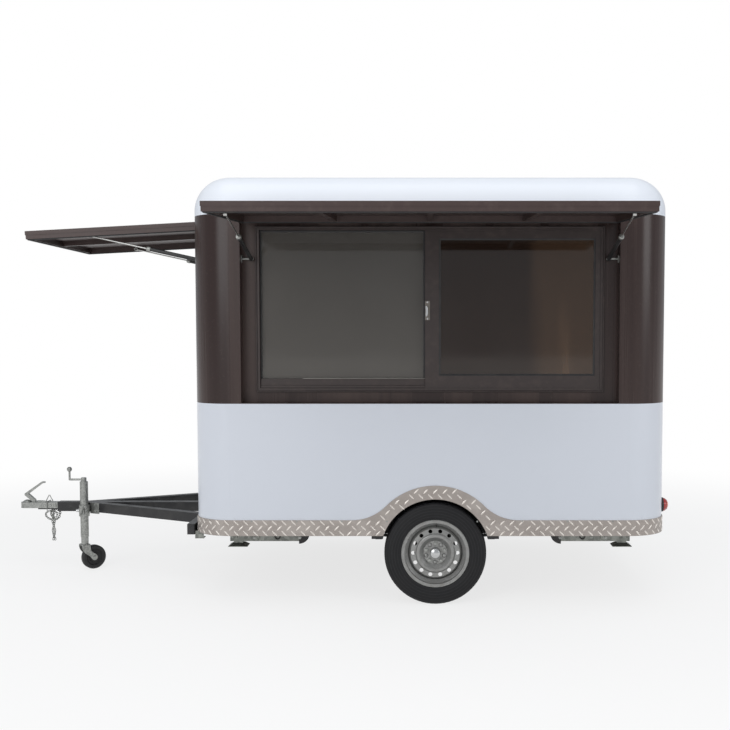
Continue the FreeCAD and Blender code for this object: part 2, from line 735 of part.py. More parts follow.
def make_door():
    face = HALF_LENGTH
    leaf = box(
        face - DOOR_THICKNESS, face, -DOOR_HALF_WIDTH + DOOR_GAP, DOOR_HALF_WIDTH - DOOR_GAP,
        DOOR_BOTTOM + DOOR_GAP, DOOR_TOP - DOOR_GAP,
    )
    plate = box(
        face, face + 4, -DOOR_HALF_WIDTH + 35, -DOOR_HALF_WIDTH + 75, DOOR_HANDLE_Z - 80, DOOR_HANDLE_Z + 80
    )
    neck = rod(
        vec(face + 4, -DOOR_HALF_WIDTH + 55, DOOR_HANDLE_Z + 30),
        vec(face + 34, -DOOR_HALF_WIDTH + 55, DOOR_HANDLE_Z + 30), 9.0,
    )
    grip = box(
        face + 28, face + 40, -DOOR_HALF_WIDTH + 45, -DOOR_HALF_WIDTH + 165,
        DOOR_HANDLE_Z + 19, DOOR_HANDLE_Z + 41,
    )
    return {
        "rear_door": join([leaf] + door_hinges()[1]),
        "rear_door_handle": join([plate, neck, grip]),
    }


def make_counter():
    back = -HALF_WIDTH + RECESS_DEPTH + WALL
    top = box(-COUNTER_HALF, COUNTER_HALF, back, back + COUNTER_DEPTH, COUNTER_TOP - COUNTER_THICKNESS, COUNTER_TOP)
    brackets = []
    for x in (-COUNTER_HALF + 40, 0.0, COUNTER_HALF - 40):
        wall_face = -HALF_WIDTH + WALL
        low = COUNTER_TOP - COUNTER_THICKNESS - 260
        points = [
            (wall_face, low),
            (wall_face, COLOUR_SPLIT),
            (back, COLOUR_SPLIT),
            (back, COUNTER_TOP - COUNTER_THICKNESS),
            (back + COUNTER_DEPTH - 60, COUNTER_TOP - COUNTER_THICKNESS),
            (back + COUNTER_DEPTH - 60, COUNTER_TOP - COUNTER_THICKNESS - 30),
        ]
        wire = Part.makePolygon([vec(x - 15, y, z) for y, z in points + points[:1]])
        brackets.append(Part.Face(wire).extrude(vec(30, 0, 0)))
    return {"serving_counter": join([top] + brackets)}


# Chassis and drawbar

def make_chassis():
    z0, z1 = CHASSIS_BOTTOM, FLOOR_BOTTOM
    half_member = ARCH_MEMBER_WIDTH / 2
    members = [AXLE_X - ARCH_MEMBER_OFFSET, AXLE_X + ARCH_MEMBER_OFFSET]
    spans = [
        (FRONT_MEMBER_BACK, members[0] - half_member),
        (members[0] + half_member, members[1] - half_member),
        (members[1] + half_member, REAR_MEMBER_END),
    ]
    rails = []
    for side in (-1, 1):
        y = side * RAIL_Y
        for x0, x1 in spans:
            rails.append(box(x0, x1, y - RAIL_WIDTH / 2, y + RAIL_WIDTH / 2, z0, z1))
    inner = RAIL_Y - RAIL_WIDTH / 2
    crosses = [
        box(x - half_member, x + half_member, -ARCH_MEMBER_HALF, ARCH_MEMBER_HALF, z0, z1) for x in members
    ]
    crosses.append(box(REAR_MEMBER_END - RAIL_WIDTH, REAR_MEMBER_END, -inner, inner, z0, z1))
    middle_front = (FRONT_MEMBER_BACK + members[0]) / 2
    crosses.append(box(middle_front - 20, middle_front + 20, -inner, inner, z0, z1))
    wide = FRONT_MEMBER_HALF
    crosses.append(box(FRONT_MEMBER_FRONT, FRONT_MEMBER_BACK, -wide, wide, z0, z0 + DRAWBAR_HEIGHT))
    nose_y = SPINE_WIDTH / 2
    slope = (A_BAR_WALL_Y - nose_y) / (FRONT_MEMBER_FRONT - A_BAR_NOSE_X)
    edge = A_BAR_WIDTH / 2 * math.sqrt(1 + slope**2)
    bar = prism_xy(
        [
            (FRONT_MEMBER_FRONT, A_BAR_WALL_Y - edge),
            (FRONT_MEMBER_FRONT, A_BAR_WALL_Y + edge),
            (A_BAR_NOSE_X - edge / slope, nose_y),
            (A_BAR_NOSE_X + edge / slope, nose_y),
        ],
        z0, z0 + DRAWBAR_HEIGHT,
    )
    return {
        "chassis_rails": compound(rails),
        "chassis_crossmembers": compound(crosses),
        "drawbar_bars": compound([bar, mirrored(bar)]),
    }


def coupler_outline(inset, z0, z1):
    """Plan of the ball housing: a round nose that narrows to the drawbar's width."""
    nose = BALL_RADIUS + COUPLER_SHELL - inset
    half = COUPLER_HALF - inset
    lean = math.asin((nose - half) / (SPINE_FRONT - BALL_X))
    a = vec(BALL_X + nose * math.sin(lean), nose * math.cos(lean), z0)
    b = vec(BALL_X + nose * math.sin(lean), -nose * math.cos(lean), z0)
    tip = vec(BALL_X - nose, 0, z0)
    edges = [
        Part.Arc(a, tip, b).toShape(),
        Part.makeLine(b, vec(SPINE_FRONT, -half, z0)),
        Part.makeLine(vec(SPINE_FRONT, -half, z0), vec(SPINE_FRONT, half, z0)),
        Part.makeLine(vec(SPINE_FRONT, half, z0), a),
    ]
    return Part.Face(Part.Wire(edges)).extrude(vec(0, 0, z1 - z0))


def link(centre, turned_over):
    """One chain link of square section that stands upright, its outer corners cut off."""
    half = (CHAIN_PITCH + RUNNING_GAP) / 2 + 2 * CHAIN_WIRE
    wide = CHAIN_HALF_WIDTH
    cut = CHAIN_CORNER
    outline = [
        (wide, half - cut), (wide - cut, half), (cut - wide, half), (-wide, half - cut),
        (-wide, cut - half), (cut - wide, -half), (wide - cut, -half), (wide, cut - half),
    ]
    eye_half = wide - 2 * CHAIN_WIRE
    eye_end = half - 2 * CHAIN_WIRE
    shape = prism_xz(outline, -CHAIN_WIRE, CHAIN_WIRE)
    shape = shape.cut(box(-eye_half, eye_half, -wide, wide, -eye_end, eye_end))
    if turned_over:
        shape.rotate(vec(0, 0, 0), Z_AXIS, 90)
    shape.translate(centre)
    return shape


def make_coupler():
    top = COUPLER_TOP
    shell = coupler_outline(0.0, COUPLER_BOTTOM, top)
    dome = Part.makeSphere(BALL_RADIUS + 9, vec(BALL_X, 0, COUPLER_BOTTOM + SOCKET_STRAIGHT))
    above = box(BALL_X - 60, BALL_X + 60, -60, 60, COUPLER_BOTTOM, COUPLER_BOTTOM + 80)
    body = join([shell, dome.common(above)])
    mouth = Part.makeCylinder(BALL_RADIUS, SOCKET_STRAIGHT + 1, vec(BALL_X, 0, COUPLER_BOTTOM - 1))
    socket = Part.makeSphere(BALL_RADIUS, vec(BALL_X, 0, COUPLER_BOTTOM + SOCKET_STRAIGHT))
    pocket = box(BALL_X + BALL_RADIUS + 8, SPINE_FRONT - 6, -COUPLER_HALF + 4, COUPLER_HALF - 4, COUPLER_BOTTOM - 1, top - 5)
    body = body.cut(mouth).cut(socket).cut(pocket)
    plate_bottom = COUPLER_BOTTOM - PLATE_UNDER_COUPLER
    plate = box(PLATE_FRONT, SPINE_FRONT, -28, 28, plate_bottom, COUPLER_BOTTOM)
    plate = plate.cut(Part.makeCylinder(10.5, 30, vec(CHAIN_X, 0, plate_bottom - 10)))
    bar_z = plate_bottom + PLATE_UNDER_COUPLER / 2
    cross = rod(vec(CHAIN_X, -12, bar_z), vec(CHAIN_X, 12, bar_z), CHAIN_WIRE)
    plate = join([plate, cross])
    spine = box(
        SPINE_FRONT, FRONT_MEMBER_FRONT, -SPINE_WIDTH / 2, SPINE_WIDTH / 2,
        CHASSIS_BOTTOM, CHASSIS_BOTTOM + DRAWBAR_HEIGHT,
    )
    lever = prism_xz([(BALL_X + x, top + z) for x, z in LEVER_OUTLINE], -LEVER_WIDTH / 2, LEVER_WIDTH / 2)
    first_z = bar_z - CHAIN_PITCH / 2 + CHAIN_WIRE + RUNNING_GAP / 2
    links = []
    for i in range(CHAIN_LINKS):
        links.append(link(vec(CHAIN_X, 0, first_z - i * CHAIN_PITCH), i % 2 == 1))
    return {
        "coupler_body": body,
        "drawbar_spine": join([spine, plate]),
        "coupler_lever": lever,
        "safety_chain": compound(links),
    }


# Jockey wheel

def make_jockey():
    axis = vec(JOCKEY_X, JOCKEY_Y, 0)
    inner = JOCKEY_TUBE_RADIUS - JOCKEY_TUBE_WALL
    height = JOCKEY_TUBE_TOP - JOCKEY_TUBE_BOTTOM
    tube = Part.makeCylinder(JOCKEY_TUBE_RADIUS, height, axis + vec(0, 0, JOCKEY_TUBE_BOTTOM))
    bore = Part.makeCylinder(inner, height - 3, axis + vec(0, 0, JOCKEY_TUBE_BOTTOM - 1))
    cap = Part.makeCylinder(16.0, 24.0, axis + vec(0, 0, JOCKEY_TUBE_TOP))
    arm_z = JOCKEY_TUBE_TOP + 12.0
    knee = vec(JOCKEY_X - JOCKEY_CRANK_REACH, JOCKEY_Y, arm_z)
    crank = [
        rod(vec(JOCKEY_X, JOCKEY_Y, arm_z), knee, 6.0),
        Part.makeSphere(6.0, knee),
        rod(knee, knee + vec(0, 0, 52), 6.0),
        Part.makeSphere(15.0, knee + vec(0, 0, 62)),
    ]
    clamp_height = JOCKEY_CLAMP_TOP - JOCKEY_CLAMP_BOTTOM
    ring_at = axis + vec(0, 0, JOCKEY_CLAMP_BOTTOM)
    ring = Part.makeCylinder(JOCKEY_TUBE_RADIUS + 7, clamp_height, ring_at)
    block = box(
        JOCKEY_X - 29, JOCKEY_X - 10, JOCKEY_Y, -SPINE_WIDTH / 2, JOCKEY_CLAMP_BOTTOM, JOCKEY_CLAMP_TOP
    )
    handle_y = JOCKEY_Y - JOCKEY_TUBE_RADIUS - 7
    ears = box(JOCKEY_X - 12, JOCKEY_X + 12, handle_y - 18, handle_y + 8, JOCKEY_CLAMP_BOTTOM + 14, JOCKEY_CLAMP_TOP - 14)
    clamp = join([ring, block, ears]).cut(
        Part.makeCylinder(JOCKEY_TUBE_RADIUS + RUNNING_GAP, clamp_height + 2, ring_at - vec(0, 0, 1))
    )
    stem_radius = inner - JOCKEY_SLIDE_GAP
    stem = Part.makeCylinder(stem_radius, JOCKEY_STEM, axis + vec(0, 0, JOCKEY_FORK_TOP))
    trail = vec(
        JOCKEY_TRAIL * math.cos(math.radians(JOCKEY_SWIVEL)), JOCKEY_TRAIL * math.sin(math.radians(JOCKEY_SWIVEL)), 0
    )
    hub = axis + trail + vec(0, 0, JOCKEY_WHEEL_RADIUS)
    half = JOCKEY_WHEEL_WIDTH / 2
    cheeks = []
    for side in (-1, 1):
        y0, y1 = sorted((side * (half + 3), side * (half + 7)))
        outline = [(-24, JOCKEY_FORK_TOP), (24, JOCKEY_FORK_TOP), (JOCKEY_TRAIL + 16, JOCKEY_WHEEL_RADIUS + 8),
                   (JOCKEY_TRAIL + 12, JOCKEY_WHEEL_RADIUS - 14), (JOCKEY_TRAIL - 10, JOCKEY_WHEEL_RADIUS - 14)]
        cheeks.append(prism_xz(outline, y0, y1))
    crown = box(-24, 24, -half - 7, half + 7, JOCKEY_FORK_TOP - 6, JOCKEY_FORK_TOP)
    axle_pin = rod(
        vec(JOCKEY_TRAIL, -half - 7, JOCKEY_WHEEL_RADIUS), vec(JOCKEY_TRAIL, half + 7, JOCKEY_WHEEL_RADIUS), 6.0
    )
    fork = join(cheeks + [crown, axle_pin])
    profile = [(6.0 + RUNNING_GAP, -half), (28, -half), (32, -half + 8), (44, -half + 8), (50, -half),
               (JOCKEY_WHEEL_RADIUS - 8, -half), (JOCKEY_WHEEL_RADIUS, -half + 8)]
    profile += [(r, -a) for r, a in reversed(profile)]
    wheel = revolved(profile, vec(JOCKEY_TRAIL, 0, JOCKEY_WHEEL_RADIUS), 1)
    placed = []
    for shape in (fork, wheel):
        copy = turned(shape, vec(0, 0, 0), Z_AXIS, JOCKEY_SWIVEL)
        copy.translate(axis)
        placed.append(copy)
    return {
        "jockey_tube": tube.cut(bore),
        "jockey_crank": join([cap] + crank),
        "jockey_clamp": clamp,
        "jockey_stem": stem,
        "jockey_fork": placed[0],
        "jockey_wheel": placed[1],
    }


# Axle, springs and wheels

def revolved(profile, centre, side):
    """Turns an outline of (radius, outward) points round an axle along Y; side 1 has outward at +Y."""
    points = [vec(centre.x + r, centre.y + side * a, centre.z) for r, a in profile + profile[:1]]
    return Part.Face(Part.makePolygon(points)).revolve(centre, Y_AXIS, 360)


def tyre(side):
    """A road tyre's section: bead, bulged sidewall, rounded shoulder and flat crown, filled like the real one."""
    half = TYRE_WIDTH / 2
    bead = RIM_SEAT_RADIUS + RUNNING_GAP
    flank = RIM_HALF_WIDTH - RIM_SHEET - RUNNING_GAP
    crown = TYRE_RADIUS
    outline = [
        (bead, -flank), (bead + 14, -flank), (bead + 26, -half + 4), (bead + 48, -half),
        (crown - 16, -half + 9), (crown - 4, -half + 24), (crown, -half + 42),
    ]
    profile = outline + [(r, -a) for r, a in reversed(outline)]
    return revolved(profile, vec(AXLE_X, side * WHEEL_Y, AXLE_Z), side)


def rim(side):
    """A pressed steel wheel: a rolled rim and a dished disc with a ring of round holes."""
    seat = RIM_SEAT_RADIUS
    flange = RIM_FLANGE_RADIUS
    edge = RIM_HALF_WIDTH
    sheet = RIM_SHEET
    well = seat - 17
    outer = [
        (flange, -edge), (flange, -edge + sheet), (seat, -edge + sheet), (seat, -edge + 22), (well, -edge + 34),
        (well, edge - 34), (seat, edge - 22), (seat, edge - sheet), (flange, edge - sheet), (flange, edge),
    ]
    inner = [
        (seat - 3, edge), (seat - sheet, edge - 20), (well - sheet, edge - 36), (well - sheet, -edge + 36),
        (seat - sheet, -edge + 20), (seat - 3, -edge),
    ]
    centre = vec(AXLE_X, side * WHEEL_Y, AXLE_Z)
    barrel = revolved(outer + inner, centre, side)
    face = [(26.5, 30), (62, 30), (83, 49), (98, 49), (105, 43), (130, 39), (well - sheet, 20)]
    disc = revolved(face + [(r, a - sheet) for r, a in reversed(face)], centre, side)
    disc_reach = centre + vec(0, side * 20, 0)
    for i in range(RIM_HOLES):
        angle = 2 * math.pi * i / RIM_HOLES
        at = disc_reach + vec(RIM_HOLE_CIRCLE * math.cos(angle), 0, RIM_HOLE_CIRCLE * math.sin(angle))
        disc = disc.cut(Part.makeCylinder(RIM_HOLE_RADIUS, 40, at, vec(0, side, 0)))
    return barrel.fuse(disc)


def hub(side):
    """Brake drum, hub and dust cap, bored for the spindle."""
    centre = vec(AXLE_X, side * WHEEL_Y, AXLE_Z)
    bore = SPINDLE_RADIUS + RUNNING_GAP
    blind = SPINDLE_END - WHEEL_Y + 1
    profile = [
        (bore, -58), (36, -58), (36, -50), (108, -50), (112, -46), (112, -8), (104, 2), (60, 6), (60, 26),
        (26, 26), (25.5, 50), (20, 56), (10, 59), (0, 60), (0, blind), (bore, blind),
    ]
    return revolved(profile, centre, side)


def leaf_spring():
    """A three-leaf pack on the serving side, drawn as bands of arcs that share a centre, with eyes."""
    y0 = -RAIL_Y - SPRING_WIDTH / 2
    half_span = SPRING_HALF_SPAN
    radius = half_span**2 / (2 * SPRING_RISE)
    pieces = []
    for layer, share in enumerate((0.45, 0.72, 1.0)):
        low = BEAM_TOP + layer * SPRING_LEAF
        reach = half_span * share
        centre_z = low + radius
        bottom = []
        top = []
        for step in (-1, 0, 1):
            x = step * reach
            bottom.append(vec(AXLE_X + x, y0, centre_z - math.sqrt(radius**2 - x**2)))
            inner = radius - SPRING_LEAF
            top.append(vec(AXLE_X + x, y0, centre_z - math.sqrt(inner**2 - x**2)))
        edges = [
            Part.Arc(*bottom).toShape(),
            Part.makeLine(bottom[2], top[2]),
            Part.Arc(top[2], top[1], top[0]).toShape(),
            Part.makeLine(top[0], bottom[0]),
        ]
        pieces.append(Part.Face(Part.Wire(edges)).extrude(vec(0, SPRING_WIDTH, 0)))
    eye_z = spring_eye_z()
    for side in (-1, 1):
        at = vec(AXLE_X + side * half_span, y0, eye_z)
        pieces.append(Part.makeCylinder(SPRING_EYE_RADIUS, SPRING_WIDTH, at, Y_AXIS))
    whole = join(pieces)
    for side in (-1, 1):
        at = vec(AXLE_X + side * half_span, y0 - 1, eye_z)
        whole = whole.cut(Part.makeCylinder(SPRING_PIN_RADIUS + RUNNING_GAP, SPRING_WIDTH + 2, at, Y_AXIS))
    return whole


def spring_eye_z():
    return BEAM_TOP + 2.5 * SPRING_LEAF + SPRING_RISE


def spring_hangers():
    """Two plates and a pin at each end of the serving-side spring, welded under the cross members."""
    y_mid = -RAIL_Y
    half = SPRING_WIDTH / 2 + 1
    eye_z = spring_eye_z()
    hangers = []
    for side in (-1, 1):
        x = AXLE_X + side * SPRING_HALF_SPAN
        pieces = []
        for face in (-1, 1):
            y0, y1 = sorted((y_mid + face * half, y_mid + face * (half + HANGER_PLATE)))
            pieces.append(box(x - 18, x + 18, y0, y1, eye_z - 20, CHASSIS_BOTTOM))
        pieces.append(rod(vec(x, y_mid - half - 9, eye_z), vec(x, y_mid + half + 9, eye_z), SPRING_PIN_RADIUS))
        hangers.append(join(pieces))
    return hangers


def make_running_gear():
    beam = box(AXLE_X - BEAM / 2, AXLE_X + BEAM / 2, -BEAM_HALF, BEAM_HALF, AXLE_Z - BEAM / 2, BEAM_TOP)
    spindles = rod(vec(AXLE_X, -SPINDLE_END, AXLE_Z), vec(AXLE_X, SPINDLE_END, AXLE_Z), SPINDLE_RADIUS)
    spring = leaf_spring()
    hangers = spring_hangers()
    parts = {
        "axle_beam": join([beam, spindles]),
        "leaf_springs": compound([spring, mirrored(spring)]),
        "spring_hangers": compound(hangers + [mirrored(hanger) for hanger in hangers]),
    }
    for name, side in (("serving", -1), ("far", 1)):
        parts["tyre_" + name] = tyre(side)
        parts["rim_" + name] = rim(side)
        parts["hub_" + name] = hub(side)
    return parts


# Corner steadies and lamps

def steady(end, side):
    """A folded corner steady: end -1 front or 1 rear, side -1 serving or 1 far. Returns mount and leg."""
    pivot_z = CHASSIS_BOTTOM - STEADY_PIVOT_DROP
    width = STEADY_WIDTH
    top = pivot_z + 9
    half_mount = width / 2 + STEADY_GUIDE_GAP + STEADY_EAR
    mount = box(-14, STEADY_LENGTH + 12, -half_mount, half_mount, CHASSIS_BOTTOM - 4, CHASSIS_BOTTOM)
    ears = []
    for face in (-1, 1):
        near = width / 2 + 1
        y0, y1 = sorted((face * near, face * (near + STEADY_EAR)))
        ears.append(box(-14, 14, y0, y1, pivot_z - 14, CHASSIS_BOTTOM))
        y0, y1 = sorted((face * (half_mount - STEADY_EAR), face * half_mount))
        ears.append(box(STEADY_LENGTH - 40, STEADY_LENGTH - 10, y0, y1, pivot_z - 2, CHASSIS_BOTTOM))
    pin = rod(vec(0, -width / 2 - 4, pivot_z), vec(0, width / 2 + 4, pivot_z), 6.0)
    mount = join([mount] + ears + [pin])
    leg = box(-14, STEADY_LENGTH, -width / 2, width / 2, top - STEADY_HEIGHT, top)
    hollow = box(-15, STEADY_LENGTH + 1, -width / 2 + STEADY_SHEET, width / 2 - STEADY_SHEET, top - STEADY_HEIGHT + STEADY_SHEET, top + 1)
    hole = rod(vec(0, -40, pivot_z), vec(0, 40, pivot_z), 6.0 + RUNNING_GAP)
    foot_z = pivot_z - STEADY_FOOT_DROP
    foot = box(STEADY_LENGTH - 90, STEADY_LENGTH + 4, -STEADY_FOOT_WIDTH / 2, STEADY_FOOT_WIDTH / 2, foot_z, foot_z + 5)
    post = box(STEADY_LENGTH - 70, STEADY_LENGTH - 20, -width / 2, width / 2, foot_z + 5, top - STEADY_HEIGHT)
    leg = join([leg.cut(hollow).cut(hole), foot, post])
    placed = []
    for shape in (mount, leg):
        copy = shape.copy()
        if end < 0:
            copy.rotate(vec(0, 0, 0), Z_AXIS, 180)
        copy.translate(vec(end * STEADY_PIVOT_X, side * RAIL_Y, 0))
        placed.append(copy)
    return placed


def make_steadies():
    parts = {}
    mounts = []
    for end, end_name in ((-1, "front"), (1, "rear")):
        for side, side_name in ((-1, "serving"), (1, "far")):
            mount, leg = steady(end, side)
            mounts.append(mount)
            parts["steady_leg_" + end_name + "_" + side_name] = leg
    parts["steady_mounts"] = compound(mounts)
    return parts


def make_tail_lamps():
    lamps = []
    for side in (-1, 1):
        base = Part.makeCylinder(LAMP_RADIUS, LAMP_DEPTH, vec(HALF_LENGTH, side * LAMP_Y, LAMP_Z), X_AXIS)
        rim_edges = [e for e in base.Edges if e.BoundBox.XMin > HALF_LENGTH + LAMP_DEPTH - 0.1]
        lamps.append(base.makeFillet(8.0, rim_edges))
    return {"tail_lamps": compound(lamps)}


def build():
    parts = {}
    parts.update(make_walls())
    parts["roof"] = make_roof()
    parts["floor"] = make_floor()
    parts.update(make_skirts())
    plate = make_arch_plate()
    well = make_wheel_well()
    parts["arch_plates"] = compound([plate, mirrored(plate)])
    parts["wheel_wells"] = compound([well, mirrored(well)])
    parts.update(make_windows())
    parts.update(make_hatches())
    parts.update(make_door())
    parts.update(make_counter())
    parts.update(make_chassis())
    parts.update(make_coupler())
    parts.update(make_jockey())
    parts.update(make_running_gear())
    parts.update(make_steadies())
    parts.update(make_tail_lamps())
    return parts


def origin_shift():
    """From the middle of the trailer's outline on the ground back to the cabin's middle."""
    tip = vec(0, out_y(0), HATCH_BOTTOM)
    inner_tip = vec(0, out_y(-HATCH_THICKNESS), HATCH_BOTTOM)
    reach = min(opened(Part.Vertex(point)).Point.y for point in (tip, inner_tip))
    y_low = reach
    y_high = HALF_WIDTH + SKIRT_PLATE
    x_low = BALL_X - BALL_RADIUS - COUPLER_SHELL
    x_high = HALF_LENGTH + LAMP_DEPTH
    return vec(-(x_low + x_high) / 2, -(y_low + y_high) / 2, 0)


def main():
    os.makedirs("parts", exist_ok=True)
    shift = origin_shift()
    for name, shape in build().items():
        placed = shape.copy()
        placed.translate(shift)
        placed.exportStep(os.path.join("parts", name + ".step"))
    print("shift", shift)


main()
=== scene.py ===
import math

import bmesh
import bpy
import numpy as np
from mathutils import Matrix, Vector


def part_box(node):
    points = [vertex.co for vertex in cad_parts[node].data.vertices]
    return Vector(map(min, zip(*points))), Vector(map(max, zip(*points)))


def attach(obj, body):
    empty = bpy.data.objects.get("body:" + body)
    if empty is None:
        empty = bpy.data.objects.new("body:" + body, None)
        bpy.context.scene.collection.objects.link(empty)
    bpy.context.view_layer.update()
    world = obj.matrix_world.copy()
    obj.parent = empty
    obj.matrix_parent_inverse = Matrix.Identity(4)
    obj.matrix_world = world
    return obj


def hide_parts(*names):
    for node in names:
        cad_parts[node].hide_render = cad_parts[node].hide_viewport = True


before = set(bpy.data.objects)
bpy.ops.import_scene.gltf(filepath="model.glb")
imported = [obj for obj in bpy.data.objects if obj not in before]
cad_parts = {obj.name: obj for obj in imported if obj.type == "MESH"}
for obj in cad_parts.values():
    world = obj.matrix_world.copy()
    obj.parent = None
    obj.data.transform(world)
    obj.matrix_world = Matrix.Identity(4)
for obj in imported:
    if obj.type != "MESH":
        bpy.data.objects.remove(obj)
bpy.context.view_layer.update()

# Every piece is worked out in millimetres from the middle of the cabin, as on a drawing: x along the trailer
# with the drawbar at -x, y across with the serving side at -y, z up from the ground. "Out" is the distance
# outwards from a wall's face.
ROOF_LOW, ROOF_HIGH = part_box("roof")
MIDDLE = np.array([(ROOF_LOW.x + ROOF_HIGH.x) / 2, (ROOF_LOW.y + ROOF_HIGH.y) / 2, 0.0])
BODY = "trailer"

# Cabin, skirt and arches
HALF_LENGTH = 1250.0
HALF_WIDTH = 950.0
CORNER = 210.0
RECESS = 75.0
PLATE = 4.0
SKIRT_LOW, SKIRT_HIGH = 367.0, 450.0
ARCH_CUT, ARCH_FLARE, ARCH_BLEND = 290.0, 362.0, 250.0
BAR_PITCH = 50.0
BAR_LEAN = math.radians(45)
BAR_ROWS = 3
ROW = (SKIRT_HIGH - SKIRT_LOW) / BAR_ROWS

# Windows, hatches and the rear door
WINDOW_LOW, WINDOW_HIGH = 1118.0, 1982.0
PANE_LOW, PANE_HIGH = 1138.0, 1962.0
PANE_DEPTH = RECESS + 27.0
HATCH_LOW, HATCH_HIGH = 1068.0, 2030.0
HATCH_TURN = math.radians(86.9)
SERVING_HATCH_HALF, FRONT_HATCH_HALF = 975.0, 550.0
SERVING_STRUT_HALF, FRONT_STRUT_HALF = 930.0, 505.0
HINGE_OUT, HINGE_Z = 5.5, 2044.0
LEAF_SCREW_Z = 2056.0
STRUT_BASE = np.array([-57.0, 1812.0])
STUD_OUT, STUD_DROP = -35.0, 650.0
DOOR_HALF = 360.0
DOOR_LOW, DOOR_HIGH = 500.0, 1990.0
DOOR_HINGE_SHARES = (0.12, 0.5, 0.88)
LAMP_Y, LAMP_Z = 735.0, 500.0

# Chassis, wheels and steadies
CHASSIS_LOW = 347.0
RAIL_Y = 720.0
CROSS_MEMBER_FRONT, CROSS_MEMBER_BACK = -1304.0, -1264.0
AXLE_X, AXLE_Z = 28.0, 270.0
WHEEL_Y = 872.0
TYRE_HALF = 78.5
TYRE_RADIUS = 270.0
BOLT_CIRCLE = 50.0
STEADY_X = 710.0
STEADY_EAR, STEADY_EYE, STEADY_FOOT = STEADY_X + 240, STEADY_X + 116, STEADY_X + 330

# Drawbar, coupler and jockey wheel
BALL_X = -2456.0
COUPLER_TOP = 400.0
CLIP_X = -2317.0
CHAIN_X = -2300.0
JOCKEY_X, JOCKEY_Y = -2085.0, -78.0
JOCKEY_TRAIL, JOCKEY_RADIUS = 52.0, 72.0
JOCKEY_TURN = math.radians(38.0)


def metres(points):
    """Millimetres from the cabin's middle to metres in the frame."""
    return np.asarray(points, float) / 1000 + MIDDLE


# Meshes


def piece(name, shape, finish, body=BODY, smooth=35.0, soften=0.0):
    """A mesh from a shape, which is its points in millimetres and lists of corners. Edges sharper than smooth
    degrees stay sharp, and soften is how many millimetres are taken off them."""
    points, faces = shape
    mesh = bpy.data.meshes.new(name)
    mesh.from_pydata(metres(points).tolist(), [], [list(face) for face in faces])
    work = bmesh.new()
    work.from_mesh(mesh)
    bmesh.ops.remove_doubles(work, verts=work.verts, dist=2e-6)
    bmesh.ops.recalc_face_normals(work, faces=work.faces)
    work.to_mesh(mesh)
    work.free()
    mesh.materials.append(finish)
    thing = bpy.data.objects.new(name, mesh)
    bpy.context.scene.collection.objects.link(thing)
    mesh.set_sharp_from_angle(angle=math.radians(smooth))
    mesh.polygons.foreach_set("use_smooth", np.ones(len(mesh.polygons), bool))
    if soften:
        bevel = thing.modifiers.new("softened edges", "BEVEL")
        bevel.width = soften / 1000
        bevel.segments = 2
        bevel.limit_method = "ANGLE"
    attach(thing, body)
    return thing


def grid_faces(rows, columns, wrap_rows=True):
    """Corner lists of the squares of a grid that joins round its columns, and round its rows if asked."""
    i = np.arange(rows if wrap_rows else rows - 1)
    i, j = np.meshgrid(i, np.arange(columns), indexing="ij")
    k, m = (i + 1) % rows, (j + 1) % columns
    return np.stack([i * columns + j, k * columns + j, k * columns + m, i * columns + m], -1).reshape(-1, 4)


def turned_ring(profile, centre, axis, steps=96, side=1.0):
    """A closed outline of (radius, along) turned once round an axle: centre + along * axis + radius * (cos,
    sin)."""
    profile = np.asarray(profile, float)
    angle = np.linspace(0, 2 * math.pi, steps, endpoint=False)[:, None]
    r, a = profile[None, :, 0], profile[None, :, 1] * side
    first, second = r * np.cos(angle), r * np.sin(angle)
    along = np.broadcast_to(a, first.shape)
    order = {"x": (along, first, second), "y": (first, along, second), "z": (first, second, along)}[axis]
    points = np.stack(order, -1).reshape(-1, 3) + np.asarray(centre, float)
    return points, grid_faces(steps, len(profile))


def gathered(shapes):
    """Several (points, faces) as one."""
    points, faces, start = [], [], 0
    for p, f in shapes:
        points.append(p)
        faces += [[c + start for c in face] for face in f]
        start += len(p)
    return np.concatenate(points), faces


def repeated(points, faces, places, firsts, seconds, thirds):
    """Copies of one small shape: copy k has its x, y and z laid along firsts[k], seconds[k] and thirds[k]."""
    turns = np.stack([firsts, seconds, thirds], 1)
    moved = np.einsum("pa,kab->kpb", points, turns) + places[:, None, :]
    corners = np.asarray(faces)[None] + (np.arange(len(places)) * len(points))[:, None, None]
    return moved.reshape(-1, 3), corners.reshape(-1, np.asarray(faces).shape[1])


def frame_ring(u0, u1, v0, v1, profile, wall):
    """A mitred rectangular frame: each (in, out) of the profile is drawn in from the four edges and stands
    out."""
    profile = np.asarray(profile, float)
    inward, out = profile[:, 0], profile[:, 1]
    u = np.stack([u0 + inward, u1 - inward, u1 - inward, u0 + inward])
    v = np.stack([v0 + inward, v0 + inward, v1 - inward, v1 - inward])
    return wall(u, v, np.broadcast_to(out, u.shape)).reshape(-1, 3), grid_faces(4, len(profile))


def rounded(outline, times=2):
    """An outline with its corners cut at a quarter and three quarters of every side, as often as asked."""
    outline = np.asarray(outline, float)
    for _ in range(times):
        after = np.roll(outline, -1, 0)
        outline = np.stack([outline * 0.75 + after * 0.25, outline * 0.25 + after * 0.75], 1).reshape(-1, 2)
    return outline


def slab(outline, low, high, place):
    """A plate: an outline of (u, v) drawn at two depths; place(u, v, depth) sets it in the trailer."""
    outline = np.asarray(outline, float)
    n = len(outline)
    depth = np.repeat([float(low), float(high)], n)
    points = place(np.tile(outline[:, 0], 2), np.tile(outline[:, 1], 2), depth)
    return points, grid_faces(2, n, wrap_rows=False).tolist() + [list(range(n)), list(range(n, 2 * n))]


def brick(x0, x1, y0, y1, z0, z1):
    """Six faces between two corners."""
    return slab([(x0, y0), (x1, y0), (x1, y1), (x0, y1)], z0, z1, lambda u, v, d: np.stack([u, v, d], -1))


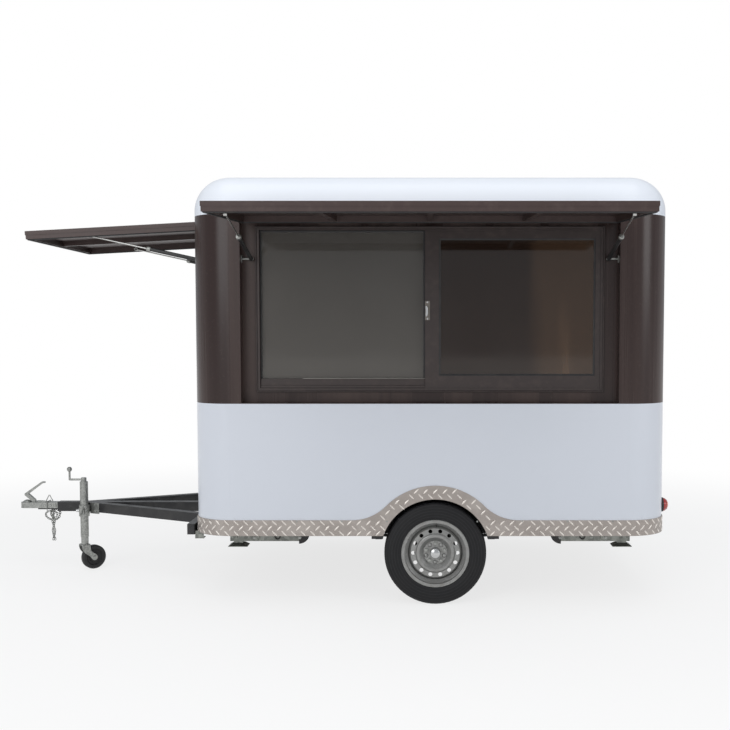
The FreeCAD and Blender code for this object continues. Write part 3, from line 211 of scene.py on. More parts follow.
def on_serving(u, v, out):
    """Along the serving wall, up it, and outwards from its face."""
    return np.stack([u, -HALF_WIDTH - out, v], -1)


def on_front(u, v, out):
    """The same on the front wall."""
    return np.stack([-HALF_LENGTH - out, -u, v], -1)


def on_rear(u, v, out):
    """Across the rear wall, up it, and outwards."""
    return np.stack([HALF_LENGTH + out, u, v], -1)


def upright_at(y):
    """Plates that stand along the trailer: u along it, v up and depth across, from y."""
    return lambda u, v, d: np.stack([u, y + d, v], -1)


def swung(shape, wall):
    """What is drawn on a closed hatch, carried to where it is open: turned about its hinge by the open
    angle."""
    points, faces = shape
    c, s = math.cos(HATCH_TURN), math.sin(HATCH_TURN)
    out, face = (1, HALF_WIDTH) if wall is on_serving else (0, HALF_LENGTH)
    a = points[:, out] + face + HINGE_OUT
    b = points[:, 2] - HINGE_Z
    moved = points.copy()
    moved[:, out] = a * c + b * s - face - HINGE_OUT
    moved[:, 2] = -a * s + b * c + HINGE_Z
    return moved, faces


def tube_along(path, radius, sides=16, closed=False):
    """A round bar along a path: each ring lies across the path's own direction, radius * (cos, sin) about
    it."""
    path = np.asarray(path, float)
    if closed:
        direction = np.roll(path, -1, 0) - np.roll(path, 1, 0)
    else:
        direction = np.gradient(path, axis=0)
    direction /= np.linalg.norm(direction, axis=1)[:, None]
    guide = np.array([0.0, 0.0, 1.0]) if abs(direction[:, 2]).max() < 0.9 else np.array([0.31, 0.95, 0.05])
    first = np.cross(direction, guide)
    first /= np.linalg.norm(first, axis=1)[:, None]
    second = np.cross(direction, first)
    angle = np.linspace(0, 2 * math.pi, sides, endpoint=False)
    ring = np.cos(angle)[None, :, None] * first[:, None] + np.sin(angle)[None, :, None] * second[:, None]
    radius = np.broadcast_to(np.asarray(radius, float), (len(path),))
    points = (path[:, None] + ring * radius[:, None, None]).reshape(-1, 3)
    faces = grid_faces(len(path), sides, wrap_rows=closed).tolist()
    if not closed:
        faces += [list(range(sides)), list(range(len(points) - sides, len(points)))]
    return points, faces


def bolt(radius, height, sides=6):
    """A hexagon head on a washer, standing up z: outlines of rising rings."""
    angle = np.linspace(0, 2 * math.pi, sides, endpoint=False) + 0.2
    rings = [(radius * 1.45, 0), (radius * 1.45, height * 0.2), (radius * 1.0, height * 0.22),
             (radius, height * 0.9), (radius * 0.86, height), (0.0, height)]
    levels = [np.stack([r * np.cos(angle), r * np.sin(angle), np.full(sides, z)], -1) for r, z in rings]
    points = np.concatenate(levels + [[[0.0, 0.0, 0.0]] * sides])
    return points, grid_faces(len(rings) + 1, sides)


def facing(places, directions):
    """Three axes for each place, the third along its direction."""
    thirds = np.asarray(directions, float)
    guide = np.where(np.abs(thirds[:, 2:3]) < 0.9, [[0.0, 0.0, 1.0]], [[1.0, 0.0, 0.0]])
    firsts = np.cross(guide, thirds)
    firsts /= np.linalg.norm(firsts, axis=1)[:, None]
    return np.asarray(places, float), firsts, np.cross(thirds, firsts), thirds


def bolts(name, places, directions, radius, height, finish, body=BODY):
    """The same head at each place, facing along its direction."""
    heads = repeated(*bolt(radius, height), *facing(places, directions))
    piece(name, heads, finish, body, smooth=30.0)


# Finishes


def srgb(red, green, blue):
    """A colour as read from a screen, 0 to 255, as the light that it gives back."""
    value = np.array([red, green, blue]) / 255
    value = np.where(value <= 0.04045, value / 12.92, ((value + 0.055) / 1.055) ** 2.4)
    return (*value.tolist(), 1.0)


class Wire:
    """One output of a shader node; sums written with it become Math nodes."""

    def __init__(self, finish, socket):
        self.finish = finish
        self.socket = socket

    def math(self, operation, *values):
        return self.finish.node("Math", {"operation": operation}, values)

    def __add__(self, other):
        return self.math("ADD", self, other)

    def __sub__(self, other):
        return self.math("SUBTRACT", self, other)

    def __rsub__(self, other):
        return self.math("SUBTRACT", other, self)

    def __mul__(self, other):
        return self.math("MULTIPLY", self, other)

    def __pow__(self, other):
        return self.math("POWER", self, other)

    def __lt__(self, other):
        return self.math("LESS_THAN", self, other)

    __radd__ = __add__
    __rmul__ = __mul__

    def absolute(self):
        return self.math("ABSOLUTE", self)

    def most(self, other):
        return self.math("MAXIMUM", self, other)

    def step(self, low, high):
        """0 at low, 1 at high and eased between."""
        settings = {"interpolation_type": "SMOOTHSTEP"}
        return self.finish.node("MapRange", settings, {"Value": self, "From Min": low, "From Max": high})


class Finish:
    """A material being made; node() makes any of its nodes."""

    def __init__(self, name):
        self.material = bpy.data.materials.new(name)
        self.material.use_nodes = True
        self.tree = self.material.node_tree
        self.tree.nodes.clear()
        self.place = self.node("TexCoord", out="Object")

    def node(self, kind, settings=(), inputs=(), out=0):
        made = self.tree.nodes.new("ShaderNode" + kind)
        for key, value in dict(settings).items():
            setattr(made, key, value)
        pairs = inputs.items() if isinstance(inputs, dict) else enumerate(inputs)
        for key, value in pairs:
            if isinstance(value, Wire):
                self.tree.links.new(value.socket, made.inputs[key])
            else:
                made.inputs[key].default_value = value
        return Wire(self, made.outputs[out]) if made.outputs else None

    def axis(self, name):
        return self.node("SeparateXYZ", (), [self.place], name)

    def stretched(self, x, y, z):
        """Object coordinates drawn out or squeezed along each axis."""
        return self.node("Mapping", (), {"Vector": self.place, "Scale": (x, y, z)})

    def noise(self, scale, detail=3.0, roughness=0.5, where=None):
        inputs = {"Vector": where or self.place, "Scale": scale, "Detail": detail, "Roughness": roughness}
        return self.node("TexNoise", (), inputs)

    def cells(self, scale, out="Distance"):
        return self.node("TexVoronoi", (), {"Vector": self.place, "Scale": scale}, out)

    def own_tone(self, scale):
        """A steady random value for each cell."""
        return self.node("SeparateColor", (), [self.cells(scale, "Color")], "Red")

    def mix(self, share, first, second):
        return self.node("Mix", {"data_type": "RGBA"}, {0: share, 6: first, 7: second}, 2)

    def surface(self, colour, roughness, height=None, depth=0.001, metallic=0.0, **fixed):
        inputs = {"Base Color": colour, "Roughness": roughness, "Metallic": metallic}
        inputs.update({key.replace("_", " "): value for key, value in fixed.items()})
        if height is not None:
            inputs["Normal"] = self.node("Bump", (), {"Height": height, "Strength": 1.0, "Distance": depth})
        shader = self.node("BsdfPrincipled", (), inputs)
        self.node("OutputMaterial", (), [shader])
        return self.material


def gel_coat(name, colour, shade, rough):
    """Moulded panel: a faint large cloud of tone, dust low down and a very slight waviness of the gloss."""
    f = Finish(name)
    cloud = f.noise(0.8, 2.0).step(0.3, 0.7)
    dust = (1 - f.axis("Z").step(0.44, 0.60)) * f.noise(7.0, 5.0).step(0.35, 0.8)
    tone = f.mix(cloud * 0.35 + dust * 0.35, colour, shade)
    wave = f.noise(2.0, 1.0) + f.noise(90.0, 2.0) * 0.01
    gloss = f.noise(4.0, 3.0) * 0.06 + rough
    return f.surface(tone, gloss, wave, 0.0008, Coat_Weight=0.2, Coat_Roughness=0.06)


def brown_gloss(name, colour, shade, rough):
    """Dark gloss sheet: drawn-out upright ripples whose tone and gloss run in soft streaks, and fine dust."""
    f = Finish(name)
    broad = f.noise(1.0, 2.0, 0.45, f.stretched(7.0, 7.0, 0.22))
    fine = f.noise(1.0, 3.0, 0.6, f.stretched(26.0, 26.0, 0.3))
    streak = (broad * 0.75 + fine * 0.25).step(0.36, 0.68)
    dust = f.noise(60.0, 4.0, 0.6).step(0.55, 0.85)
    tone = f.mix(streak, colour, shade)
    tone = f.mix(dust * 0.06, tone, srgb(150, 140, 130))
    wave = broad + fine * 0.15
    return f.surface(tone, streak * 0.16 + rough, wave, 0.003, Specular_IOR_Level=0.35)


def powder_coat(name, colour, shade, rough=0.42, grain=900.0):
    """Fine orange-peel of a baked coat, paler where hands and weather rub it."""
    f = Finish(name)
    rub = f.noise(24.0, 5.0, 0.6).step(0.45, 0.8)
    tone = f.mix(rub * 0.7, colour, shade)
    return f.surface(tone, rub * 0.12 + rough, f.noise(grain, 2.0), 0.00006)


def black_paint(name="black chassis paint"):
    """Brushed-on black with dull patches, road dust and small chips."""
    f = Finish(name)
    dull = f.noise(9.0, 5.0, 0.6).step(0.4, 0.75)
    chips = (f.cells(120.0) < 0.07) * f.noise(14.0).step(0.55, 0.7)
    tone = f.mix(dull, srgb(30, 30, 32), srgb(58, 57, 56))
    tone = f.mix(chips, tone, srgb(112, 100, 90))
    return f.surface(tone, dull * 0.2 + 0.36, f.noise(180.0, 3.0) + chips * -0.5, 0.0002)


def zinc(name, colour=(186, 188, 184), shade=(140, 143, 141), spangle=True):
    """Galvanised steel: flat crystals of slightly different tone, with white bloom."""
    f = Finish(name)
    grain = f.own_tone(55.0 if spangle else 140.0)
    bloom = f.noise(16.0, 5.0, 0.65).step(0.5, 0.8)
    tone = f.mix(grain * 0.8, srgb(*colour), srgb(*shade))
    tone = f.mix(bloom * 0.45, tone, srgb(205, 206, 202))
    rough = grain * 0.15 + bloom * 0.2 + 0.30
    return f.surface(tone, rough, grain * 0.3 + f.noise(300.0) * 0.2, 0.0002, metallic=0.75)


def chequer(name, colour, shade, rough, metallic):
    """Rolled aluminium: long rolling lines, soft handling marks and a warm tone."""
    f = Finish(name)
    rolling = f.noise(1.0, 3.0, 0.55, f.stretched(4.0, 4.0, 60.0))
    scuff = f.noise(9.0, 4.0, 0.6).step(0.4, 0.75)
    tone = f.mix(rolling * 0.7, srgb(*colour), srgb(*shade))
    tone = f.mix(scuff * 0.25, tone, srgb(214, 207, 200))
    return f.surface(tone, scuff * 0.14 + rough, rolling, 0.00004, metallic=metallic)


def bright_steel(name, colour=(205, 205, 202), rough=0.2, drawn=(400.0, 400.0, 6.0)):
    """Ground or brushed steel: fine lines along the work."""
    f = Finish(name)
    lines = f.noise(1.0, 3.0, 0.6, f.stretched(*drawn))
    tone = f.mix(lines * 0.6, srgb(*colour), srgb(*[int(c * 0.78) for c in colour]))
    return f.surface(tone, lines * 0.16 + rough, lines, 0.00003, metallic=0.95)


def silver_paint(name="silver wheel paint"):
    """Sprayed aluminium paint with metallic fleck and brown brake dust in patches."""
    f = Finish(name)
    fleck = f.own_tone(700.0)
    dust = f.noise(30.0, 5.0, 0.65).step(0.42, 0.75)
    tone = f.mix(fleck * 0.5, srgb(142, 142, 140), srgb(170, 170, 168))
    tone = f.mix(dust * 0.35, tone, srgb(104, 98, 92))
    return f.surface(tone, dust * 0.25 + 0.30, fleck * 0.2 + f.noise(90.0) * 0.2, 0.0001, metallic=0.6)


def rubber(name, colour=(38, 38, 40), dusty=(74, 72, 69)):
    """Vulcanised rubber: dull, with a bloom of dust and fine mould grain."""
    f = Finish(name)
    bloom = f.noise(12.0, 6.0, 0.62).step(0.4, 0.8)
    tone = f.mix(bloom * 0.6, srgb(*colour), srgb(*dusty))
    return f.surface(tone, bloom * 0.15 + 0.58, f.noise(520.0, 2.0) + f.noise(60.0) * 0.3, 0.00015)


def tyre_rubber(name="tyre rubber"):
    """Sidewall rings about the axle by the distance from it, dust in the tread and a brown bloom."""
    f = Finish(name)
    x = f.axis("X") - float(MIDDLE[0] + AXLE_X / 1000)
    z = f.axis("Z") - AXLE_Z / 1000
    far = (x * x + z * z) ** 0.5
    ring = ((far * 420.0).math("SINE", far * 420.0)).step(0.75, 1.0)
    bloom = f.noise(10.0, 6.0, 0.62).step(0.4, 0.8)
    tone = f.mix(bloom * 0.5, srgb(22, 22, 24), srgb(42, 41, 41))
    tone = f.mix(ring * 0.22, tone, srgb(74, 74, 76))
    grain = ring * 0.5 + f.noise(420.0, 2.0) * 0.25
    return f.surface(tone, bloom * 0.14 + 0.56, grain, 0.0006, Specular_IOR_Level=0.3)


def glass(name, colour, edge, share):
    """Flat glass with a film of dust and faint upright smears; past 0.5 m behind the middle its tint runs
    into the edge tone, a painted reflection. The share is how much of it hides what is behind."""
    f = Finish(name)
    film = f.noise(1.6, 3.0, 0.5).step(0.3, 0.8)
    smear = f.noise(1.0, 3.0, 0.5, f.stretched(7.0, 7.0, 0.8)).step(0.45, 0.8)
    # painted reflection: past 0.5 m behind the middle the glass turns towards the edge tone, broken up by the
    # smears
    painted_reflection_share = (f.axis("X") - float(MIDDLE[0])).step(0.50, 0.62)
    tone = f.mix(film * 0.35, srgb(*colour), srgb(*[min(255, c + 14) for c in colour]))
    tone = f.mix(painted_reflection_share * smear.step(-0.6, 0.8), tone, srgb(*edge))
    hidden = film * 0.04 + smear * 0.03 + share
    return f.surface(tone, film * 0.05 + 0.03, Alpha=hidden, Specular_IOR_Level=0.5)


def lamp_lens(name, middle, ring):
    """Round lamp lens: amber inside 27 mm of the lamp's middle and red outside it, with fine moulded
    circles."""
    f = Finish(name)
    y = (f.axis("Y") - float(MIDDLE[1])).absolute() - LAMP_Y / 1000
    z = f.axis("Z") - LAMP_Z / 1000
    far = (y * y + z * z) ** 0.5
    circles = (far * 2600.0).math("SINE", far * 2600.0)
    tone = f.mix(far.step(0.0265, 0.0275), srgb(*middle), srgb(*ring))
    tone = f.mix(circles.step(-0.2, 0.9) * 0.35, tone, srgb(110, 22, 10))
    return f.surface(tone, f.noise(40.0) * 0.08 + 0.08, circles, 0.0003, Coat_Weight=0.8)


def board(name="floor board"):
    """Phenolic-faced board: brown film with soft worn lanes and scratches along it."""
    f = Finish(name)
    grain = f.noise(1.0, 4.0, 0.6, f.stretched(2.0, 40.0, 2.0))
    worn = f.noise(3.0, 5.0, 0.6).step(0.4, 0.7)
    tone = f.mix(worn, srgb(70, 60, 50), srgb(98, 87, 76))
    tone = f.mix(grain * 0.3, tone, srgb(48, 41, 36))
    return f.surface(tone, worn * 0.15 + 0.5, grain, 0.0002)


WHITE = gel_coat("white gel coat", srgb(214, 218, 226), srgb(209, 214, 222), 0.30)
# painted light from above: the roof's white is the walls' gel coat set paler
ROOF_WHITE_PAINTED_LIT = gel_coat("white roof gel coat painted lit", srgb(226, 231, 239), srgb(232, 235, 240), 0.34)
BROWN = brown_gloss("brown gloss sheet", srgb(46, 32, 30), srgb(72, 58, 54), 0.22)
FRAME_BROWN = powder_coat("brown window coat", srgb(52, 42, 40), srgb(72, 60, 57), 0.42)
HATCH_BROWN = powder_coat("brown hatch coat", srgb(62, 46, 43), srgb(78, 63, 59), 0.40)
CHEQUER = chequer("bright chequer plate", (170, 161, 154), (148, 141, 137), 0.40, 0.45)
# painted highlight: the bars are the plate's aluminium set far paler, as their lit flanks
BAR_PAINTED_LIT = chequer("chequer bars painted lit", (236, 229, 221), (214, 207, 200), 0.26, 0.55)
BLACK = black_paint()
ZINC = zinc("galvanised steel", (146, 148, 142), (108, 110, 106))
PLATED = zinc("bright zinc plate", (170, 171, 167), (128, 130, 127), spangle=False)
ROD = bright_steel("ground rod")
CHROME = bright_steel("bright trim", (206, 207, 207), 0.16, (200.0, 200.0, 200.0))
HINGE = bright_steel("hinge steel", (128, 122, 116), 0.36, (12.0, 400.0, 400.0))
COUNTER = bright_steel("brushed counter steel", (160, 158, 152), 0.32, (6.0, 400.0, 400.0))
SILVER = silver_paint()
RUBBER = rubber("black seal rubber")
JOCKEY_RUBBER = rubber("solid wheel rubber", (28, 28, 29), (48, 47, 46))
TYRE = tyre_rubber()
DRUM = powder_coat("cast drum", srgb(36, 34, 33), srgb(62, 54, 48), 0.55, 300.0)
# painted shade: the clear pane is a mostly opaque grey that stands in for the shaded cabin behind it
CLEAR_PAINTED_SHADE = glass("clear glass painted with interior shade", (96, 92, 87), (100, 95, 90), 0.72)
# the second brown is a painted reflection, laid on the rear end of the sash glass
TINTED = glass("brown glass", (44, 33, 27), (98, 76, 58), 0.86)
BOARD = board()
LAMP = lamp_lens("lamp lens", (246, 112, 30), (176, 28, 18))
WELL = powder_coat("black moulding", srgb(26, 26, 27), srgb(44, 43, 42), 0.6, 300.0)

NODE_FINISH = {
    WHITE: ["front_cap_lower", "rear_cap_lower", "serving_wall_lower", "far_wall_lower", "rear_door"],
    ROOF_WHITE_PAINTED_LIT: ["roof"],
    BROWN: ["front_cap_upper", "rear_cap_upper", "serving_wall_upper", "far_wall_upper"],
    FRAME_BROWN: ["serving_window_frame", "serving_window_sash", "front_window_frame"],
    HATCH_BROWN: ["serving_hatch", "front_hatch"],
    CHEQUER: ["skirt_front", "skirt_rear", "arch_plates"],
    BLACK: [
        "chassis_rails", "chassis_crossmembers", "drawbar_spine", "drawbar_bars", "axle_beam", "leaf_springs",
        "spring_hangers", "serving_strut_cylinders", "front_strut_cylinders",
    ],
    ZINC: [
        "steady_leg_front_serving", "steady_leg_front_far", "steady_leg_rear_serving", "steady_leg_rear_far",
        "steady_mounts",
    ],
    PLATED: [
        "coupler_body", "coupler_lever", "safety_chain", "jockey_tube", "jockey_crank", "jockey_clamp",
        "jockey_stem", "jockey_fork", "strut_base_studs",
    ],
    ROD: ["serving_strut_rods", "front_strut_rods"],
    CHROME: ["rear_door_handle"],
    HINGE: ["fixed_hinges", "window_latch"],
    COUNTER: ["serving_counter"],
    SILVER: ["rim_serving", "rim_far"],
    DRUM: ["hub_serving", "hub_far"],
    JOCKEY_RUBBER: ["jockey_wheel"],
    TYRE: ["tyre_serving", "tyre_far"],
    CLEAR_PAINTED_SHADE: ["window_panes"],
    TINTED: ["serving_sash_glass"],
    BOARD: ["floor"],
    WELL: ["wheel_wells"],
    LAMP: ["tail_lamps"],
}
for finish, names in NODE_FINISH.items():
    for name in names:
        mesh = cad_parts[name].data
        mesh.materials.clear()
        mesh.materials.append(finish)


# Chequer plate


def body_outline(grow, samples=240):
    """The rounded rectangle round the cabin, grown outwards: distance along it, points and outward
    normals."""
    radius = CORNER + grow
    turn = np.linspace(0, math.pi / 2, samples)
    centres = [(1, -1), (1, 1), (-1, 1), (-1, -1)]
    xs, ys, nx, ny = [], [], [], []
    for quarter, (sx, sy) in enumerate(centres):
        angle = turn - math.pi / 2 + quarter * math.pi / 2
        xs.append(sx * (HALF_LENGTH - CORNER) + radius * np.cos(angle))
        ys.append(sy * (HALF_WIDTH - CORNER) + radius * np.sin(angle))
        nx.append(np.cos(angle))
        ny.append(np.sin(angle))
    x, y = np.concatenate(xs), np.concatenate(ys)
    nx, ny = np.concatenate(nx), np.concatenate(ny)
    x, y, nx, ny = (np.append(v, v[0]) for v in (x, y, nx, ny))
    along = np.concatenate([[0], np.cumsum(np.hypot(np.diff(x), np.diff(y)))])
    return along, np.stack([x, y], -1), np.stack([nx, ny], -1)


def tread_bar(length=37.0, width=8.6, height=2.1, around=12, levels=3):
    """A raised lozenge: half a flattened ellipsoid, pointed at both ends, closed under the sheet."""
    u = np.linspace(0, 2 * math.pi, around, endpoint=False)
    t = np.linspace(0, 1, levels + 1)
    share = np.sqrt(1 - t**2)
    outline_x = np.cos(u) * length / 2
    outline_y = np.sign(np.sin(u)) * np.abs(np.sin(u)) ** 1.3 * width / 2
    x = share[:, None] * outline_x[None]
    y = share[:, None] * outline_y[None]
    z = np.broadcast_to((t * height)[:, None], x.shape)
    points = np.stack([x, y, z], -1).reshape(-1, 3)
    foot = np.stack([np.zeros(around), np.zeros(around), np.full(around, -0.3)], -1)
    return np.concatenate([points, foot]), grid_faces(levels + 2, around)


def bars_at(name, places, normals, leans):
    """Lozenges laid on the sheet, each turned by its lean from level."""
    up = np.array([0.0, 0.0, 1.0])
    level = np.cross(up, normals)
    level /= np.linalg.norm(level, axis=1)[:, None]
    c, s = np.cos(leans)[:, None], np.sin(leans)[:, None]
    firsts = level * c + up * s
    bars = repeated(*tread_bar(), places, firsts, np.cross(normals, firsts), normals)
    piece(name, bars, BAR_PAINTED_LIT, BODY, smooth=50.0)


def round_body(s):
    """Where the distances s along the skirt's outline lie, as x and y, and the outward normals there."""
    along, xy, normal = body_outline(PLATE)
    at = [np.interp(s, along, line) for line in (*xy.T, *normal.T)]
    return np.stack(at[:2], -1), np.stack([*at[2:], np.zeros(len(s))], -1)


def skirt_bars():
    """Three rows round the skirt, each leaning one way and set half a pitch on, left out over the arch
    plates."""
    length = body_outline(PLATE)[0][-1]
    count = int(length / BAR_PITCH)
    places, normals, leans = [], [], []
    for row in range(BAR_ROWS):
        xy, normal = round_body(((np.arange(count) + 0.5 * (row % 2)) * length / count) % length)
        x, y = xy.T
        over_arch = (np.abs(x - AXLE_X) < 482) & (np.abs(y) > HALF_WIDTH - 5)
        by_rail = (x < -HALF_LENGTH + 5) & (np.abs(np.abs(y) - RAIL_Y) < 38)
        keep = ~(over_arch | by_rail)
        places.append(np.stack([x, y, np.full(count, SKIRT_LOW + (row + 0.5) * ROW)], -1)[keep])
        normals.append(normal[keep])
        leans.append(np.full(count, BAR_LEAN if row % 2 else -BAR_LEAN)[keep])
    places, normals, leans = np.concatenate(places), np.concatenate(normals), np.concatenate(leans)
    fore = places[:, 0] < AXLE_X
    for name, part in (("skirt_front_bars", fore), ("skirt_rear_bars", ~fore)):
        bars_at(name, places[part], normals[part], leans[part])


def arch_bars():
    """The same bars over the arch plates, kept inside the hump and clear of the wheel cut."""
    u, v = np.meshgrid(np.arange(-10, 11), np.arange(0, 10), indexing="ij")
    u, v = u.ravel(), v.ravel()
    x = AXLE_X + (u + 0.5 * (v % 2)) * BAR_PITCH
    z = SKIRT_LOW + (v + 0.5) * ROW
    lean = np.where(v % 2 == 1, BAR_LEAN, -BAR_LEAN)
    rise = SKIRT_HIGH + ARCH_BLEND - AXLE_Z
    spread = math.sqrt((ARCH_FLARE + ARCH_BLEND) ** 2 - rise**2)
    meet = spread * ARCH_FLARE / (ARCH_FLARE + ARCH_BLEND)
    off = np.abs(x - AXLE_X)
    from_axle = np.hypot(x - AXLE_X, z - AXLE_Z)
    from_blend = np.hypot(off - spread, z - SKIRT_HIGH - ARCH_BLEND)
    strip = (z < SKIRT_HIGH - 8) & (off < 456)
    hump = (off < meet) & (from_axle < ARCH_FLARE - 13)
    hollow = (off >= meet) & (off < spread) & (from_blend > ARCH_BLEND + 15) & (z < SKIRT_HIGH + 80)
    inside = (strip | hump | hollow) & (from_axle > ARCH_CUT + 14)
    x, z, lean = x[inside], z[inside], lean[inside]
    for side, name in ((-1, "arch_bars_serving"), (1, "arch_bars_far")):
        places = np.stack([x, np.full(len(x), side * (HALF_WIDTH + PLATE)), z], -1)
        normals = np.broadcast_to([0.0, float(side), 0.0], places.shape)
        bars_at(name, places, normals, lean * side)


# Wheels


def tyre_section():
    """Half of the section from bead to crown as (radius, outward), rounded by sampling arcs of the
    sidewall."""
    turn = np.linspace(0, 1, 12)
    bead = [(165.3, 48.0), (165.3, 60.7), (179.0, 60.7)]
    wall_r = 181 + turn * 60
    wall_a = 62 + 16.5 * np.sin(math.pi * (0.12 + 0.62 * turn))
    turn = np.linspace(0, 1, 9)[1:]
    shoulder_r = 241 + 27.0 * np.sin(turn * math.pi / 2)
    shoulder_a = wall_a[-1] - (wall_a[-1] - 56) * (1 - np.cos(turn * math.pi / 2))
    crown_a = np.linspace(54, 0, 28)
    crown_r = TYRE_RADIUS - 2.0 * (crown_a / 54) ** 2
    points = bead + list(zip(wall_r, np.minimum(wall_a, TYRE_HALF))) + list(zip(shoulder_r, shoulder_a))
    return np.array(points + list(zip(crown_r, crown_a)))


def tyre(name, side, body):
    """The section turned round the axle; on the crown the radius drops by 6 mm in three grooves and in
    slots."""
    half = tyre_section()
    section = np.concatenate([half, half[-2::-1] * [1, -1]])
    steps = 576
    angle = np.linspace(0, 2 * math.pi, steps, endpoint=False)[:, None]
    r = np.broadcast_to(section[None, :, 0], (steps, len(section))).copy()
    a = np.broadcast_to(section[None, :, 1], r.shape)
    crown = np.abs(a) < 60
    high = r > 255
    groove = np.zeros(r.shape)
    for centre in (-29.0, 0.0, 29.0):
        groove = np.maximum(groove, np.clip(1.6 - np.abs(a - centre) / 3.2, 0, 1))
    slot = (angle * 72 / (2 * math.pi) + np.abs(a) / 40 + (a > 0) * 0.5) % 1.0
    slots = (slot < 0.22) * (np.abs(a) > 33) + (slot < 0.12) * (np.abs(a) < 25) * 0.5
    r = r - np.where(crown & high, 6.0 * np.maximum(groove, slots * 0.85), 0)
    edge = sum(np.exp(-(((r - at) / wide) ** 2)) for at, wide in ((199, 2.2), (236, 1.8), (218, 1.5)))
    a = a + np.sign(a) * edge * 0.9 * (np.abs(a) > 58)
    x = AXLE_X + r * np.cos(angle)
    z = AXLE_Z + r * np.sin(angle)
    y = side * WHEEL_Y + a
    points = np.stack([x, y, z], -1).reshape(-1, 3)
    made = piece(name, (points, grid_faces(steps, len(section))), TYRE, body, smooth=40.0)
    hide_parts("tyre_" + body.split("_")[0])


def wheel_details(side, body):
    """Five bolts on pads between five pressed lumps, a bright domed cap, a valve and the rim's rolled lip."""
    y = side * WHEEL_Y
    angle = np.arange(10) * 2 * math.pi / 10 + 0.3
    x, z = AXLE_X + BOLT_CIRCLE * np.cos(angle), AXLE_Z + BOLT_CIRCLE * np.sin(angle)
    round_hub = np.stack([x, np.full(10, y + side * 30.0), z], -1)
    bolt_places = round_hub[::2]
    ways = np.broadcast_to([0.0, float(side), 0.0], bolt_places.shape)
    bolts("wheel_bolts_" + body, bolt_places, ways, 9.5, 15.0, PLATED, body)
    pad = [(0.0, 0.0), (14.5, 0.0), (14.0, 2.0), (11.0, 3.2), (0.0, 3.2)]
    lump = [(0.0, 0.0), (12.0, 0.0), (10.5, 4.0), (7.0, 7.0), (3.0, 8.2), (0.0, 8.5)]
    shapes = [turned_ring(pad, place, "y", 24, side) for place in bolt_places]
    shapes += [turned_ring(lump, place, "y", 20, side) for place in round_hub[1::2]]
    piece("bolt_pads_" + body, gathered(shapes), SILVER, body, smooth=30.0)
    cap = [
        (0.0, 30.0), (29.0, 30.0), (29.0, 33.0), (27.2, 35.0), (27.2, 56.0), (24.0, 61.0), (15.0, 65.5),
        (6.0, 67.2), (0.0, 67.4),
    ]
    valve = [(0.0, 8.0), (4.6, 8.0), (4.2, 22.0), (3.6, 24.0), (3.6, 33.0), (0.0, 33.5)]
    lip = [
        (175.5, 60.8), (179.6, 62.0), (179.6, 64.2), (178.0, 65.6), (176.0, 65.9), (174.0, 64.6),
        (173.5, 61.5),
    ]
    bead = [(96.0, 46.0), (99.0, 49.6), (96.0, 51.2), (90.0, 51.4), (85.0, 50.6), (83.5, 48.0)]
    axle = (AXLE_X, y, AXLE_Z)
    for name, profile, centre, steps, finish, slot in (
        ("hub_cap_", cap, axle, 48, CHROME, "chrome_trim"),
        ("valve_", valve, (AXLE_X + 6, y + side * 12, AXLE_Z + 143), 16, RUBBER, "black_rubber"),
        ("rim_lip_", lip, axle, 160, SILVER, "wheel_steel"),
        ("disc_ring_", bead, axle, 120, SILVER, "wheel_steel"),
    ):
        piece(name + body, turned_ring(profile, centre, "y", steps, side), finish, body, smooth=30.0)


def well_panels():
    """Inner closing plates between the arch members: from the chassis up to the drum, flat, 2 mm thick."""
    ends = (AXLE_X - 273, AXLE_X + 273)
    outline = [(ends[0], CHASSIS_LOW), (ends[1], CHASSIS_LOW), (ends[1], 452), (ends[0], 452)]
    shapes = [slab(outline, -1, 1, upright_at(side * 773.0)) for side in (-1, 1)]
    piece("well_panels", gathered(shapes), WELL, BODY, soften=0.5)


# Windows and hatches


def seals():
    """Rubber strips along each pane and each opening's edge, as mitred frames of small sections."""
    strip = np.array([(-3.0, 0.0), (-3.0, 3.2), (4.0, 4.0), (9.0, 1.6), (9.0, 0.0)])
    pane, sash = strip - [0.0, PANE_DEPTH], strip - [0.0, RECESS + 6.0]
    shapes = [
        frame_ring(-892, -26, PANE_LOW, PANE_HIGH, pane, on_serving),
        frame_ring(47, 865, 1203, 1920, sash, on_serving),
        frame_ring(-467, 467, PANE_LOW, PANE_HIGH, pane, on_front),
    ]
    piece("window_seals", gathered(shapes), RUBBER, BODY, smooth=25.0)
    bead = np.array([(0.0, 0.0), (0.0, 5.5), (2.0, 7.0), (5.0, 7.0), (7.0, 5.0), (7.0, 0.0)])
    bead = bead - [0.0, RECESS - 4]
    frames = [
        frame_ring(-912, 912, WINDOW_LOW, WINDOW_HIGH, bead, on_serving),
        frame_ring(-487, 487, WINDOW_LOW, WINDOW_HIGH, bead, on_front),
    ]
    piece("window_frame_beads", gathered(frames), FRAME_BROWN, BODY, smooth=25.0)


def hatch_trim(name, half, wall, body):
    """A pressed edge round the outer skin and a rubber seal inside, drawn closed and swung open."""
    edge = [(-2.5, -20.0), (-2.5, 0.5), (-1.5, 1.6), (9.0, 1.6), (10.0, 0.6), (10.0, -1.0)]
    seal = [(6.0, -43.0), (6.0, -47.0), (9.0, -49.0), (14.0, -49.0), (17.0, -47.0), (17.0, -43.0)]
    for kind, profile, finish, slot in (
        ("_edging", edge, HATCH_BROWN, "brown_hatch"),
        ("_seal", seal, RUBBER, "black_rubber"),
    ):
        closed = frame_ring(-half, half, HATCH_LOW, HATCH_HIGH, profile, wall)
        piece(name + kind, swung(closed, wall), finish, body, smooth=25.0)


